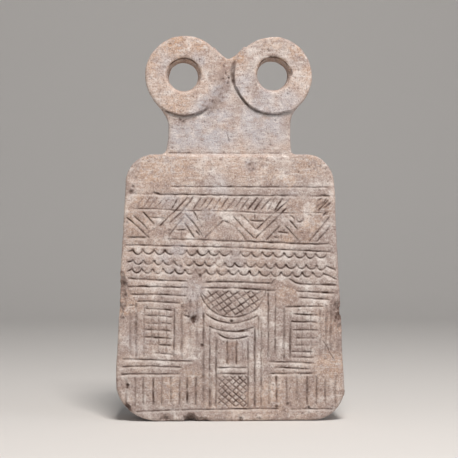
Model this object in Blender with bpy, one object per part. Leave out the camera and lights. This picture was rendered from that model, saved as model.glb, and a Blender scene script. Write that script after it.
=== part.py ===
"""A stone idol of the spectacle kind: one carved slab with a neck and two pierced eye rings.

The slab stands on its underside. Its flat front carries incised ornament: ruled lines, a hatched
band, a nested zigzag, three rows of scallops, two latticed windows and a doorway under a basin.
Metres, +Z up, front towards -Y, origin at the middle of the underside.
"""

import math
from collections import namedtuple

import bmesh
import bpy
import numpy as np
from mathutils import Vector
from mathutils.geometry import delaunay_2d_cdt

# Slab
SLAB_HEIGHT = 0.2011
FOOT_HALF_WIDTH = 0.0866
SHOULDER_HALF_WIDTH = 0.0791
FOOT_DEPTH = 0.050
SHOULDER_DEPTH = 0.034
SHOULDER_CORNER_RADIUS = 0.0225
LEFT_FOOT_CORNER_RADIUS = 0.030
RIGHT_FOOT_CORNER_RADIUS = 0.022
FRONT_EDGE_RADIUS = 0.003
BACK_EDGE_RADIUS = 0.008
CORNER_STEPS = 6

# Neck and the web between the rings
NECK_HEIGHT = 0.0296
NECK_HALF_WIDTH = 0.0456
NECK_FLARE = 0.0028
NECK_FLARE_HEIGHT = 0.009
NECK_DEPTH = 0.026
NECK_RECESS = 0.0025
NECK_EDGE_RADIUS = 0.003
WEB_DIP_HALF_WIDTH = 0.0016
WEB_DIP_ABOVE_CENTRES = 0.0139

# Eye rings
RING_RADIUS = 0.0299
RING_SPACING = 0.0664
RING_DEPTH = 0.028
RING_PROUD_OF_NECK = 0.0025
RING_EDGE_RADIUS = 0.003
RING_STEPS = 40
EYE_MOUTH_RADIUS = 0.0131
EYE_WAIST_RADIUS = 0.0110
EYE_FLARE_DEPTH = 0.006

# Incised lines: width at the face, depth, and how they end and are drawn
LINE_WIDTH = 0.0013
LINE_DEPTH = 0.0008
STRONG_WIDTH = 0.0017
STRONG_DEPTH = 0.0011
FINE_WIDTH = 0.0011
FINE_DEPTH = 0.0005
LINE_TAPER = 0.0018
LINE_MARGIN = 0.0008
WEAR_LIMIT = 0.6
CLIP_STEPS = 80
MERGE_DISTANCE = 0.00002

STONE_COLOUR = (0.54, 0.42, 0.36, 1.0)
STONE_ROUGHNESS = 0.92

FACE_Y = -FOOT_DEPTH / 2
NECK_FACE_Y = FACE_Y + NECK_RECESS
RING_FACE_Y = NECK_FACE_Y - RING_PROUD_OF_NECK
RING_CENTRE_HEIGHT = SLAB_HEIGHT + NECK_HEIGHT + RING_RADIUS
HALF_RING_SPACING = RING_SPACING / 2

# The carving is drawn in shares of the slab: a place is (across, up), where across is a share of
# the foot's half width and up is a share of the slab's height. A ruled line is its height at the
# left, its height at the right, its left end and its right end.
UPPER_RULE = (0.877, 0.877, -0.52, 0.86)
HATCH_TOP = (0.852, 0.844, -0.88, 0.91)
HATCH_FOOT = (0.795, 0.779, -0.865, 0.86)
ZIGZAG_FOOT = (0.688, 0.662, -0.89, 0.865)
SCALLOP_TOP = (0.659, 0.634, -0.90, 0.87)
FOOT_RULE = (0.039, 0.042, -0.83, 0.90)

# Worn patches where a line has faded: across, up, radius across.
WORN = (
    (-0.64, 0.685, 0.09),
    (-0.21, 0.748, 0.13),
    (0.02, 0.720, 0.07),
    (0.61, 0.705, 0.12),
    (0.66, 0.812, 0.11),
    (-0.50, 0.640, 0.06),
    (-0.30, 0.500, 0.09),
    (0.86, 0.210, 0.14),
    (-0.42, 0.165, 0.07),
    (0.68, 0.300, 0.09),
)

HATCH_START = -0.80
HATCH_PITCH = 0.0605
HATCH_COUNT = 28
HATCH_LEAN = 0.095

ZIGZAG_START = -0.673
ZIGZAG_PITCH = 0.437
ZIGZAG_COUNT = 4
ZIGZAG_RISING_SHARE = 0.57
ZIGZAG_RISE = 0.099
ZIGZAG_OFFSET = 0.037
LONG_RISERS = (0, 2)
BAR_RISE = 0.033
BAR_HALF = 0.085

SCALLOP_SAG = 0.0175
SCALLOP_STEPS = 4
SCALLOP_ROWS = (
    # cusp height at the left and right, first cusp, pitch, count
    (0.641, 0.623, -0.846, 0.0940, 18),
    (0.603, 0.580, -0.850, 0.0895, 20),
    (0.570, 0.552, -0.858, 0.0935, 19),
)

COURSES = (
    (0.533, 0.523, -0.885, -0.37),
    (0.504, 0.499, -0.888, -0.37),
    (0.476, 0.466, -0.878, -0.378),
    (0.511, 0.508, 0.614, 0.925),
    (0.487, 0.478, 0.585, 0.913),
    (0.4625, 0.453, 0.590, 0.869),
)
SILLS = (
    (0.2325, 0.223, -0.939, -0.327),
    (0.205, 0.202, -0.929, -0.418),
    (0.178, 0.177, -0.955, -0.444),
    (0.220, 0.217, 0.341, 0.752),
    (0.199, 0.196, 0.380, 0.708),
    (0.178, 0.178, 0.356, 0.732),
)

WINDOW_FOOT = 0.236
RUNG_COUNT = 7
RUNG_PITCH = 0.0275
WINDOWS = (
    # outer left and right, frame top, inner left and right, top rung, mullions
    (-0.819, -0.431, 0.444, -0.750, -0.496, 0.420, (-0.68, -0.617, -0.56)),
    (0.465, 0.780, 0.428, 0.524, 0.728, 0.400, (0.59, 0.66)),
)

PLANK_TOP = 0.166
PLANK_FOOT = 0.052
PLANK_COUNT = 8
PLANK_RUNS = ((-0.832, 0.0770), (0.339, 0.0815))

CENTRE = 0.030
LINTELS = (
    (0.520, 0.516, -0.234, 0.357),
    (0.497, 0.489, -0.262, 0.395),
)
BASIN_TOP = 0.493
BASIN_HALF = 0.284
BASIN_DROP = 0.106
BASIN_STEPS = 12
BASIN_LATTICE_PITCH = 0.098
BASIN_SLANTS = (0.27, -0.36)
BOWS = (
    # half width, height of the ends, height of the middle
    (0.228, 0.399, 0.366),
    (0.200, 0.355, 0.335),
    (0.137, 0.323, 0.309),
)
BOW_STEPS = 6
POST_INNER = 0.1275
POST_PITCH = 0.0575
POST_TOPS = (0.306, 0.340, 0.395)
SIDE_POSTS = (
    # across, top, foot
    (0.330, 0.487, 0.050),
    (0.388, 0.467, 0.255),
    (-0.287, 0.470, 0.265),
    (-0.347, 0.455, 0.235),
)
DOOR_POST_HALF = 0.0405
DOOR_POST_TOP = 0.303
TRANSOMS = (0.200, 0.177)
PANEL_HALF = 0.120
PANEL_FOOT = 0.047
PANEL_LATTICE_PITCH = 0.0720
PANEL_SLANTS = (0.39, -0.36)
LATTICE_GAP = 0.006

Stroke = namedtuple("Stroke", "points width depth")


def lerp(a, b, t):
    """The value t of the way from a to b."""
    return a + (b - a) * t


def sway(number):
    """A small repeatable unevenness of the hand, between -1 and 1."""
    return math.sin(number * 2.399 + 0.7) * math.cos(number * 1.13)


def level(rule, across):
    """How far up a ruled line is at a place across the face."""
    left_up, right_up, left, right = rule
    return lerp(left_up, right_up, (across - left) / (right - left))


def ruled(rule, width, depth):
    """The stroke of a ruled line."""
    left_up, right_up, left, right = rule
    return Stroke([(left, left_up), (right, right_up)], width, depth)


def upright(across, top, foot, width, depth):
    """A stroke straight down the face."""
    return Stroke([(across, top), (across, foot)], width, depth)


def stretches(points, is_kept):
    """The runs of points for which is_kept is true, those of at least two points."""
    found, run = [], []
    for point in points:
        if is_kept(point):
            run.append(point)
            continue
        found.append(run)
        run = []
    found.append(run)
    return [run for run in found if len(run) > 1]


def along(start, end):
    """Places evenly spaced along a straight line."""
    return [
        (lerp(start[0], end[0], k / CLIP_STEPS), lerp(start[1], end[1], k / CLIP_STEPS))
        for k in range(CLIP_STEPS + 1)
    ]


def clipped(start, end, is_inside):
    """The ends of the first stretch of a straight line that is inside a region, or None."""
    runs = stretches(along(start, end), is_inside)
    return [runs[0][0], runs[0][-1]] if runs else None


def rules():
    """The six lines ruled across the face."""
    found = [ruled(UPPER_RULE, LINE_WIDTH, FINE_DEPTH)]
    for rule in (HATCH_TOP, HATCH_FOOT, ZIGZAG_FOOT, SCALLOP_TOP, FOOT_RULE):
        found.append(ruled(rule, LINE_WIDTH, LINE_DEPTH))
    return found


def hatching():
    """The band of short slanting strokes under the upper rules."""
    found = []
    for number in range(HATCH_COUNT):
        foot = HATCH_START + HATCH_PITCH * number + 0.006 * sway(number)
        head = foot + HATCH_LEAN + 0.012 * sway(number + 40)
        points = [(foot, level(HATCH_FOOT, foot) + 0.006), (head, level(HATCH_TOP, head) - 0.006)]
        found.append(Stroke(points, LINE_WIDTH, LINE_DEPTH * (0.8 + 0.4 * sway(number + 11))))
    return found


def zigzag():
    """Three nested zigzag lines between two rules, with a bar and a stub in each of their triangles."""

    def is_in_band(place):
        return level(ZIGZAG_FOOT, place[0]) + 0.005 < place[1] < level(HATCH_FOOT, place[0]) - 0.004

    def is_below_hatch_top(place):
        return level(ZIGZAG_FOOT, place[0]) + 0.005 < place[1] < level(HATCH_TOP, place[0]) - 0.014

    found = []
    rising = ZIGZAG_PITCH * ZIGZAG_RISING_SHARE
    for number in range(-1, ZIGZAG_COUNT):
        bottom = ZIGZAG_START + ZIGZAG_PITCH * number
        apex = bottom + rising
        after = bottom + ZIGZAG_PITCH
        foot = level(ZIGZAG_FOOT, bottom) + 0.006
        after_foot = level(ZIGZAG_FOOT, after) + 0.006
        top = lerp(foot, after_foot, ZIGZAG_RISING_SHARE) + ZIGZAG_RISE
        for shift in (-1, 0, 1):
            lift = shift * ZIGZAG_OFFSET
            reach = 1.35 if number in LONG_RISERS and shift == 0 else 1.0
            end = (lerp(bottom, apex, reach), lerp(foot, top, reach) + lift)
            region = is_below_hatch_top if reach > 1.0 else is_in_band
            riser = clipped((bottom, foot + lift), end, region)
            faller = clipped((apex, top + lift), (after, after_foot + lift), is_in_band)
            found += [Stroke(points, LINE_WIDTH, LINE_DEPTH) for points in (riser, faller) if points]
        for across, up, way in ((bottom, foot + ZIGZAG_OFFSET, 1), (apex, top - ZIGZAG_OFFSET, -1)):
            bar = up + way * BAR_RISE
            half = BAR_HALF if way > 0 else BAR_HALF * 0.75
            found.append(Stroke([(across - half, bar), (across + half, bar)], LINE_WIDTH, LINE_DEPTH))
            found.append(upright(across, bar + way * 0.006, bar + way * 0.030, FINE_WIDTH, FINE_DEPTH))
    return found


def scallops():
    """Three rows of hanging arcs whose cusps point up."""
    found = []
    for row, (left_up, right_up, first, pitch, count) in enumerate(SCALLOP_ROWS):
        rule = (left_up, right_up, first, first + pitch * count)
        for number in range(count):
            sag = SCALLOP_SAG * (1 + 0.12 * sway(number + 7 * row))
            points = []
            for step in range(SCALLOP_STEPS + 1):
                share = step / SCALLOP_STEPS
                across = first + pitch * (number + lerp(0.03, 0.97, share))
                points.append((across, level(rule, across) - sag * math.sin(math.pi * share)))
            found.append(Stroke(points, LINE_WIDTH, LINE_DEPTH * (1 + 0.2 * sway(number + row))))
    return found


def courses_and_sills():
    """The level lines above and below the windows."""
    found = []
    for number, rule in enumerate(COURSES + SILLS):
        found.append(ruled(rule, STRONG_WIDTH, STRONG_DEPTH * (0.85 + 0.2 * sway(number))))
    return found


def windows():
    """Two framed windows, each with seven rungs and faint mullions."""
    found = []
    for outer_left, outer_right, top, inner_left, inner_right, rung_top, mullions in WINDOWS:
        found.append(ruled((top, top, outer_left, outer_right), STRONG_WIDTH, LINE_DEPTH))
        for across in (outer_left, outer_right):
            found.append(upright(across, top, WINDOW_FOOT, LINE_WIDTH, FINE_DEPTH))
        for across in (inner_left, inner_right):
            found.append(upright(across, rung_top, WINDOW_FOOT, LINE_WIDTH, LINE_DEPTH))
        for across in mullions:
            found.append(upright(across, rung_top, WINDOW_FOOT + 0.01, FINE_WIDTH, FINE_DEPTH * 0.8))
        for rung in range(RUNG_COUNT):
            up = rung_top - RUNG_PITCH * rung
            rule = (up, up - 0.004, inner_left, inner_right)
            found.append(ruled(rule, LINE_WIDTH, LINE_DEPTH * (1.1 - 0.05 * rung)))
    return found


def planks():
    """The upright strokes below the sills, down to the foot rule."""
    found = []
    for run, (first, pitch) in enumerate(PLANK_RUNS):
        for number in range(PLANK_COUNT):
            across = first + pitch * number + 0.006 * sway(number + 5 * run)
            top = PLANK_TOP - 0.008 * abs(sway(number + 3))
            depth = LINE_DEPTH * (1 + 0.3 * sway(number + 9 * run))
            found.append(upright(across, top, PLANK_FOOT, STRONG_WIDTH, depth))
    return found


def lattice(centre_up, reach, pitch, slants, is_inside):
    """Crossed parallel lines through a region, spaced by pitch across it."""
    found = []
    lines = int(reach / pitch) + 1
    for slant in slants:
        for number in range(-lines, lines + 1):
            middle = CENTRE + pitch * number
            low = (middle - reach, centre_up - reach * slant)
            high = (middle + reach, centre_up + reach * slant)
            points = clipped(low, high, is_inside)
            if points:
                found.append(Stroke(points, LINE_WIDTH, LINE_DEPTH * 0.9))
    return found


def basin():
    """The lintels, the latticed basin under them, and the three bows that hang below."""

    def is_in_basin(place):
        share = min(1.0, abs(place[0] - CENTRE) / BASIN_HALF)
        edge = BASIN_TOP - BASIN_DROP * math.sqrt(1.0 - share**2)
        return edge + LATTICE_GAP < place[1] < BASIN_TOP - LATTICE_GAP

    found = [ruled(rule, STRONG_WIDTH, STRONG_DEPTH) for rule in LINTELS]
    outline = []
    for step in range(BASIN_STEPS + 1):
        angle = math.pi * step / BASIN_STEPS
        across = CENTRE - BASIN_HALF * math.cos(angle)
        outline.append((across, BASIN_TOP - LATTICE_GAP - BASIN_DROP * math.sin(angle)))
    found.append(Stroke(outline, LINE_WIDTH, LINE_DEPTH))
    middle_up = BASIN_TOP - BASIN_DROP / 2
    found += lattice(middle_up, 0.5, BASIN_LATTICE_PITCH, BASIN_SLANTS, is_in_basin)
    for half, end_up, low_up in BOWS:
        points = []
        for step in range(BOW_STEPS + 1):
            share = 2 * step / BOW_STEPS - 1
            points.append((CENTRE + half * share, lerp(low_up, end_up, share**2)))
        found.append(Stroke(points, STRONG_WIDTH, STRONG_DEPTH))
    return found


def doorway():
    """The posts, the door's middle post, its two transoms and the latticed panel at its foot."""

    def is_in_panel(place):
        beside = abs(place[0] - CENTRE) < PANEL_HALF
        return beside and PANEL_FOOT < place[1] < TRANSOMS[1] - LATTICE_GAP

    found = []
    for number, top in enumerate(POST_TOPS):
        for side in (-1, 1):
            across = CENTRE + side * (POST_INNER + POST_PITCH * number)
            found.append(upright(across, top, PLANK_FOOT, LINE_WIDTH, LINE_DEPTH))
    for across, top, foot in SIDE_POSTS:
        found.append(upright(across, top, foot, LINE_WIDTH, LINE_DEPTH * 0.8))
    for side in (-1, 1):
        across = CENTRE + side * DOOR_POST_HALF
        found.append(upright(across, DOOR_POST_TOP, TRANSOMS[0] + 0.01, STRONG_WIDTH, LINE_DEPTH))
    for up in TRANSOMS:
        rule = (up, up, CENTRE - PANEL_HALF, CENTRE + PANEL_HALF)
        found.append(ruled(rule, STRONG_WIDTH, LINE_DEPTH))
    middle_up = (PANEL_FOOT + TRANSOMS[1]) / 2
    found += lattice(middle_up, 0.3, PANEL_LATTICE_PITCH, PANEL_SLANTS, is_in_panel)
    return found


def is_worn(place):
    """Whether an incised line has faded away at a place."""
    across, up = place
    for patch_across, patch_up, radius in WORN:
        rise = (up - patch_up) * SLAB_HEIGHT / FOOT_HALF_WIDTH
        if math.hypot(across - patch_across, rise) < radius * WEAR_LIMIT:
            return True
    return False


def foot_corner_radius(side):
    """The radius of a lower corner, the left one for side -1."""
    return LEFT_FOOT_CORNER_RADIUS if side < 0 else RIGHT_FOOT_CORNER_RADIUS


def half_width_at(height, side):
    """The slab's half width at a height, on one slanting side between the round corners."""
    low = foot_corner_radius(side)
    high = SLAB_HEIGHT - SHOULDER_CORNER_RADIUS
    share = min(1.0, max(0.0, (height - low) / (high - low)))
    return lerp(FOOT_HALF_WIDTH, SHOULDER_HALF_WIDTH, share)


def is_on_flat(place, inset):
    """Whether a place is on the slab's flat face, at least inset from its outline."""
    side = math.copysign(1, place[0])
    x, z = abs(place[0]) * FOOT_HALF_WIDTH, place[1] * SLAB_HEIGHT
    for radius, centre_z, below in (
        (foot_corner_radius(side), foot_corner_radius(side), True),
        (SHOULDER_CORNER_RADIUS, SLAB_HEIGHT - SHOULDER_CORNER_RADIUS, False),
    ):
        centre_x = half_width_at(centre_z, side) - radius
        if x > centre_x and (z < centre_z) == below and (z > centre_z) != below:
            return math.hypot(x - centre_x, z - centre_z) < radius - inset
    return x < half_width_at(z, side) - inset


def kept_strokes(strokes):
    """The strokes without the stretches that are worn away or would run off the flat face."""
    found = []
    for stroke in strokes:
        inset = FRONT_EDGE_RADIUS + LINE_MARGIN + stroke.width / 2

        def is_kept(place):
            return is_on_flat(place, inset) and not is_worn(place)

        straight = len(stroke.points) == 2
        points = along(*stroke.points) if straight else stroke.points
        for run in stretches(points, is_kept):
            places = [run[0], run[-1]] if straight else run
            placed = [Vector((a * FOOT_HALF_WIDTH, b * SLAB_HEIGHT)) for a, b in places]
            if (placed[-1] - placed[0]).length > 2 * stroke.width and (straight or len(run) > 3):
                found.append(stroke._replace(points=placed))
    return found


def groove_plan(stroke):
    """A groove seen from the front: its outline, pointed at both ends, and the line of its floor."""
    points = stroke.points
    if len(points) == 2:
        length = (points[1] - points[0]).length
        taper = (points[1] - points[0]) * min(LINE_TAPER / length, 1 / 3)
        points = [points[0], points[0] + taper, points[1] - taper, points[1]]
    ways = [(b - a).normalized() for a, b in zip(points, points[1:])]
    left, right = [], []
    for place, before, after in zip(points[1:], ways, ways[1:]):
        bisector = (before + after).normalized()
        out = Vector((-bisector.y, bisector.x))
        reach = stroke.width / 2 / before.dot(bisector)
        left.append(place + out * reach)
        right.append(place - out * reach)
    return [points[0], *left, points[-1], *reversed(right)], points[1:-1]


def depth_at(places, grooves):
    """How deep the ornament is at each place: the deepest of the V sections that cover it."""
    depth = np.zeros(len(places))
    for floor, width, deep in grooves:
        for start, end in zip(floor, floor[1:]):
            start, way = np.array(start), np.array(end - start)
            share = np.clip((places - start) @ way / (way @ way), 0.0, 1.0)
            distance = np.linalg.norm(places - start - share[:, None] * way, axis=1)
            depth = np.maximum(depth, deep * (1.0 - distance / (width / 2)))
    return depth


def slab_outline(inset):
    """The slab's outline as (x, z), a trapezium with round corners, drawn in by inset."""
    found = []
    corners = (
        (FOOT_HALF_WIDTH, 0.0, RIGHT_FOOT_CORNER_RADIUS, -90, 1),
        (SHOULDER_HALF_WIDTH, SLAB_HEIGHT, SHOULDER_CORNER_RADIUS, 0, 1),
        (SHOULDER_HALF_WIDTH, SLAB_HEIGHT, SHOULDER_CORNER_RADIUS, 90, -1),
        (FOOT_HALF_WIDTH, 0.0, LEFT_FOOT_CORNER_RADIUS, 180, -1),
    )
    for half_width, height, radius, start, side in corners:
        centre_x = side * (half_width - radius)
        centre_z = height + (radius if height == 0.0 else -radius)
        for step in range(CORNER_STEPS + 1):
            angle = math.radians(start + 90 * step / CORNER_STEPS)
            reach = radius - inset
            found.append((centre_x + reach * math.cos(angle), centre_z + reach * math.sin(angle)))
    return found


def slab_back(height):
    """Where the slab's sloping back is at a height."""
    return FACE_Y + lerp(FOOT_DEPTH, SHOULDER_DEPTH, height / SLAB_HEIGHT)


def edge_steps(radius, steps):
    """Pairs of inset and setback round a quarter-round edge, from the face to the side."""
    found = []
    for step in range(steps + 1):
        angle = math.pi / 2 * step / steps
        found.append((radius * (1 - math.sin(angle)), radius * (1 - math.cos(angle))))
    return found


def add_incised_face(bm, rim, strokes):
    """Fills the rim with triangles that follow every groove, sunk to the grooves' depth."""
    places = [Vector((vert.co.x, vert.co.z)) for vert in rim]
    edges = []
    grooves = []
    for stroke in strokes:
        outline, floor = groove_plan(stroke)
        first = len(places)
        places += outline
        edges += [(first + k, first + (k + 1) % len(outline)) for k in range(len(outline))]
        first = len(places)
        places += floor
        edges += [(first + k, first + k + 1) for k in range(len(floor) - 1)]
        grooves.append((floor, stroke.width, stroke.depth))
    inside_rim = 1
    found, _, faces, sources, _, _ = delaunay_2d_cdt(
        places, edges, [list(range(len(rim)))], inside_rim, MERGE_DISTANCE
    )
    depth = depth_at(np.array([tuple(place) for place in found]), grooves)
    made = []
    for place, deep, source in zip(found, depth, sources):
        on_rim = [index for index in source if index < len(rim)]
        made.append(rim[on_rim[0]] if on_rim else bm.verts.new((place.x, FACE_Y + deep, place.y)))
    for face in faces:
        bm.faces.new([made[index] for index in face])


def slab(strokes):
    """The slab: its outline carried round the front edge, along the sides and round the back edge."""
    bm = bmesh.new()
    loops = []
    for inset, setback in edge_steps(FRONT_EDGE_RADIUS, 2):
        loops.append([bm.verts.new((x, FACE_Y + setback, z)) for x, z in slab_outline(inset)])
    for inset, setback in reversed(edge_steps(BACK_EDGE_RADIUS, 3)):
        loops.append([bm.verts.new((x, slab_back(z) - setback, z)) for x, z in slab_outline(inset)])
    for front, back in zip(loops, loops[1:]):
        for k, after in enumerate(range(1 - len(front), 1)):
            bm.faces.new((front[k], back[k], back[after], front[after]))
    bm.faces.new(list(reversed(loops[-1])))
    add_incised_face(bm, loops[0], strokes)
    return new_object("idol", bm)


def new_object(name, bm):
    """An object in the scene from a bmesh, with its faces pointing out."""
    bmesh.ops.recalc_face_normals(bm, faces=bm.faces)
    mesh = bpy.data.meshes.new(name)
    bm.to_mesh(mesh)
    bm.free()
    made = bpy.data.objects.new(name, mesh)
    bpy.context.scene.collection.objects.link(made)
    return made


def as_tool(made):
    """Marks an object as a helper that is not part of the stone."""
    made.hide_render = True
    made.display_type = "WIRE"
    return made


def neck_outline():
    """The neck's sides, up to the ring centres, and the dip of the web between the rings."""
    ring_foot = SLAB_HEIGHT + NECK_HEIGHT
    corner = RING_RADIUS * math.sqrt(0.5)
    right = (
        (NECK_HALF_WIDTH + NECK_FLARE, SLAB_HEIGHT - NECK_EDGE_RADIUS),
        (NECK_HALF_WIDTH + NECK_FLARE * 0.3, SLAB_HEIGHT + NECK_FLARE_HEIGHT * 0.4),
        (NECK_HALF_WIDTH, SLAB_HEIGHT + NECK_FLARE_HEIGHT),
        (NECK_HALF_WIDTH, ring_foot - NECK_FLARE_HEIGHT * 0.5),
        (NECK_HALF_WIDTH + NECK_FLARE * 0.5, ring_foot + NECK_FLARE_HEIGHT * 0.5),
        (HALF_RING_SPACING, RING_CENTRE_HEIGHT),
        (HALF_RING_SPACING - corner * 0.93, RING_CENTRE_HEIGHT + corner * 1.05),
        (HALF_RING_SPACING - corner * 1.30, RING_CENTRE_HEIGHT + corner * 0.80),
        (WEB_DIP_HALF_WIDTH, RING_CENTRE_HEIGHT + WEB_DIP_ABOVE_CENTRES),
    )
    return list(right) + [(-x, z) for x, z in reversed(right)]


def neck():
    """The neck and web as one thick plate with rounded edges."""
    bm = bmesh.new()
    front = bm.faces.new([bm.verts.new((x, NECK_FACE_Y, z)) for x, z in neck_outline()])
    grown = bmesh.ops.extrude_face_region(bm, geom=[front])
    moved = [item for item in grown["geom"] if isinstance(item, bmesh.types.BMVert)]
    bmesh.ops.translate(bm, verts=moved, vec=(0, NECK_DEPTH, 0))
    rims = [edge for edge in bm.edges if edge.verts[0].co.y == edge.verts[1].co.y]
    bmesh.ops.bevel(bm, geom=rims, offset=NECK_EDGE_RADIUS, segments=2, profile=0.5, affect="EDGES")
    return as_tool(new_object("neck_and_web", bm))


def turned(name, profile, centre_x):
    """A solid turned about a ring's level axis from (radius, y) pairs, closed at both ends."""
    bm = bmesh.new()
    loops = []
    for radius, y in profile:
        loop = []
        for step in range(RING_STEPS):
            angle = 2 * math.pi * step / RING_STEPS
            x = centre_x + radius * math.cos(angle)
            loop.append(bm.verts.new((x, y, RING_CENTRE_HEIGHT + radius * math.sin(angle))))
        loops.append(loop)
    bm.faces.new(loops[0])
    bm.faces.new(list(reversed(loops[-1])))
    for near, far in zip(loops, loops[1:]):
        for k, after in enumerate(range(1 - RING_STEPS, 1)):
            bm.faces.new((near[k], far[k], far[after], near[after]))
    return as_tool(new_object(name, bm))


def ring_disc(name, centre_x):
    """One eye ring before it is pierced: a thick disc with rounded rims."""
    back = RING_FACE_Y + RING_DEPTH
    rim = edge_steps(RING_EDGE_RADIUS, 2)
    profile = [(RING_RADIUS - inset, RING_FACE_Y + setback) for inset, setback in rim]
    profile += [(RING_RADIUS - inset, back - setback) for inset, setback in reversed(rim)]
    return turned(name, profile, centre_x)


def eye_bore(name, centre_x):
    """The cutter for an eye, wide at both mouths and narrow between, as if drilled from both sides."""
    back = RING_FACE_Y + RING_DEPTH
    slope = (EYE_MOUTH_RADIUS - EYE_WAIST_RADIUS) / EYE_FLARE_DEPTH
    beyond = EYE_FLARE_DEPTH / 2
    wide = EYE_MOUTH_RADIUS + slope * beyond
    profile = (
        (wide, RING_FACE_Y - beyond),
        (EYE_WAIST_RADIUS, RING_FACE_Y + EYE_FLARE_DEPTH),
        (EYE_WAIST_RADIUS, back - EYE_FLARE_DEPTH),
        (wide, back + beyond),
    )
    return turned(name, profile, centre_x)


def chip(name, place, reach, seed):
    """The cutter for a broken edge: a rough lump at place with the given reach along X, Y and Z."""
    bm = bmesh.new()
    bmesh.ops.create_icosphere(bm, subdivisions=2, radius=1.0)
    for number, vert in enumerate(bm.verts):
        rough = vert.co * (1.0 + 0.10 * sway(number + seed))
        vert.co = Vector(place) + Vector([a * b for a, b in zip(rough, reach)])
    return as_tool(new_object(name, bm))


def chips():
    """Where the stone has broken: the foot's notch, both long edges and the two lower corners."""
    left = half_width_at(0.48 * SLAB_HEIGHT, -1)
    right = half_width_at(0.39 * SLAB_HEIGHT, 1)
    low_right = half_width_at(0.10 * SLAB_HEIGHT, 1)
    notch = (-0.325 * FOOT_HALF_WIDTH, FACE_Y, -0.0025)
    left_edge = (-left - 0.0005, FACE_Y - 0.0015, 0.478 * SLAB_HEIGHT)
    right_edge = (right + 0.0010, FACE_Y - 0.0010, 0.395 * SLAB_HEIGHT)
    right_foot = (low_right + 0.0012, FACE_Y + 0.002, 0.100 * SLAB_HEIGHT)
    left_foot = (-0.885 * FOOT_HALF_WIDTH, FACE_Y - 0.0008, 0.052 * SLAB_HEIGHT)
    return [
        chip("chip_foot", notch, (0.0165, 0.0120, 0.0100), 3),
        chip("chip_left_edge", left_edge, (0.0062, 0.0085, 0.0180), 9),
        chip("chip_right_edge", right_edge, (0.0060, 0.0075, 0.0130), 17),
        chip("chip_right_foot", right_foot, (0.0036, 0.0110, 0.0050), 23),
        chip("chip_left_foot", left_foot, (0.0040, 0.0050, 0.0050), 31),
    ]


def boolean(target, tool, operation):
    """A Boolean of the stone with a helper."""
    made = target.modifiers.new(tool.name, "BOOLEAN")
    made.operation = operation
    made.object = tool
    made.solver = "EXACT"


def stone():
    """The stone's material: a pale, dry, pinkish sandstone."""
    made = bpy.data.materials.new("sandstone")
    made.use_nodes = True
    shader = made.node_tree.nodes["Principled BSDF"]
    shader.inputs["Base Color"].default_value = STONE_COLOUR
    shader.inputs["Roughness"].default_value = STONE_ROUGHNESS
    shader.inputs["Metallic"].default_value = 0.0
    made.diffuse_color = STONE_COLOUR
    return made


def main():
    """Builds the idol: an incised slab, joined to the neck and rings, pierced and chipped."""
    for old in list(bpy.data.objects):
        bpy.data.objects.remove(old)
    ornament = rules() + hatching() + zigzag() + scallops() + courses_and_sills()
    ornament += windows() + planks() + basin() + doorway()
    idol = slab(kept_strokes(ornament))
    idol.data.materials.append(stone())
    boolean(idol, neck(), "UNION")
    for side, name in ((-1, "left"), (1, "right")):
        boolean(idol, ring_disc(f"ring_{name}", side * HALF_RING_SPACING), "UNION")
    for side, name in ((-1, "left"), (1, "right")):
        boolean(idol, eye_bore(f"eye_{name}", side * HALF_RING_SPACING), "DIFFERENCE")
    for tool in chips():
        boolean(idol, tool, "DIFFERENCE")


main()
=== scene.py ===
"""A sandstone eye idol: the carved stone's surface, its finish and a plain studio.

The stone is one closed mesh. Its front and back are heights over a grid of across and up, trimmed
to the outline by signed distances, and its sides are a profile carried along the trimmed edge.
Shapes are worked out in millimetres, across to the viewer's right, up from the underside and depth
away from the viewer, and become metres when a mesh is made.
"""

import logging
import math
from collections.abc import Callable
from dataclasses import dataclass, field
from enum import Enum
from typing import Any, ClassVar

import bpy
import numpy as np
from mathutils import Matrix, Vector


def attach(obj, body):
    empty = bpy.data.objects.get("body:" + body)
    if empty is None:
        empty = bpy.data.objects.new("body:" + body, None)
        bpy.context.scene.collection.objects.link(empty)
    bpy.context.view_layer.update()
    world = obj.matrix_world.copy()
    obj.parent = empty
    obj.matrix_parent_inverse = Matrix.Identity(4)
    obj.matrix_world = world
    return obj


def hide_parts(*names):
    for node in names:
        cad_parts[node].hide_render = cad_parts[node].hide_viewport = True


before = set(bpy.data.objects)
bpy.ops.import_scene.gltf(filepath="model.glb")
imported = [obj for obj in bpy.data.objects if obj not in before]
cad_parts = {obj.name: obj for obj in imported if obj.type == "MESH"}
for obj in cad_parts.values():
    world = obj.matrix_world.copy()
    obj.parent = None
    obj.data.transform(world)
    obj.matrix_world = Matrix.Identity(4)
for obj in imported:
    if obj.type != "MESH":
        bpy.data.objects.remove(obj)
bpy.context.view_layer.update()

LOG = logging.getLogger("idol")
MM = 0.001
FINE_PITCH = 0.5
TRIANGLES = 196_000

Array = np.ndarray
Place = tuple[float, float]
Line = tuple[Place, ...]


def smooth(value: Array, low: Array | float, high: Array | float) -> Array:
    """Rises from 0 at low to 1 at high as 3t² - 2t³."""
    share = np.clip((value - low) / (high - low), 0.0, 1.0)
    return share * share * (3.0 - 2.0 * share)


def round_and(first: Array, second: Array, radius: Array | float) -> Array:
    """The signed distance to what two shapes share, with a round corner where their edges cross."""
    corner = np.hypot(np.maximum(first + radius, 0.0), np.maximum(second + radius, 0.0)) - radius
    return np.where(np.maximum(first, second) > -radius, corner, np.maximum(first, second))


def round_or(first: Array, second: Array, radius: float) -> Array:
    """The signed distance to two shapes joined, with a round hollow where their edges cross."""
    hollow = radius - np.hypot(np.maximum(radius - first, 0.0), np.maximum(radius - second, 0.0))
    return np.where(np.minimum(first, second) < radius, hollow, np.minimum(first, second))


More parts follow.
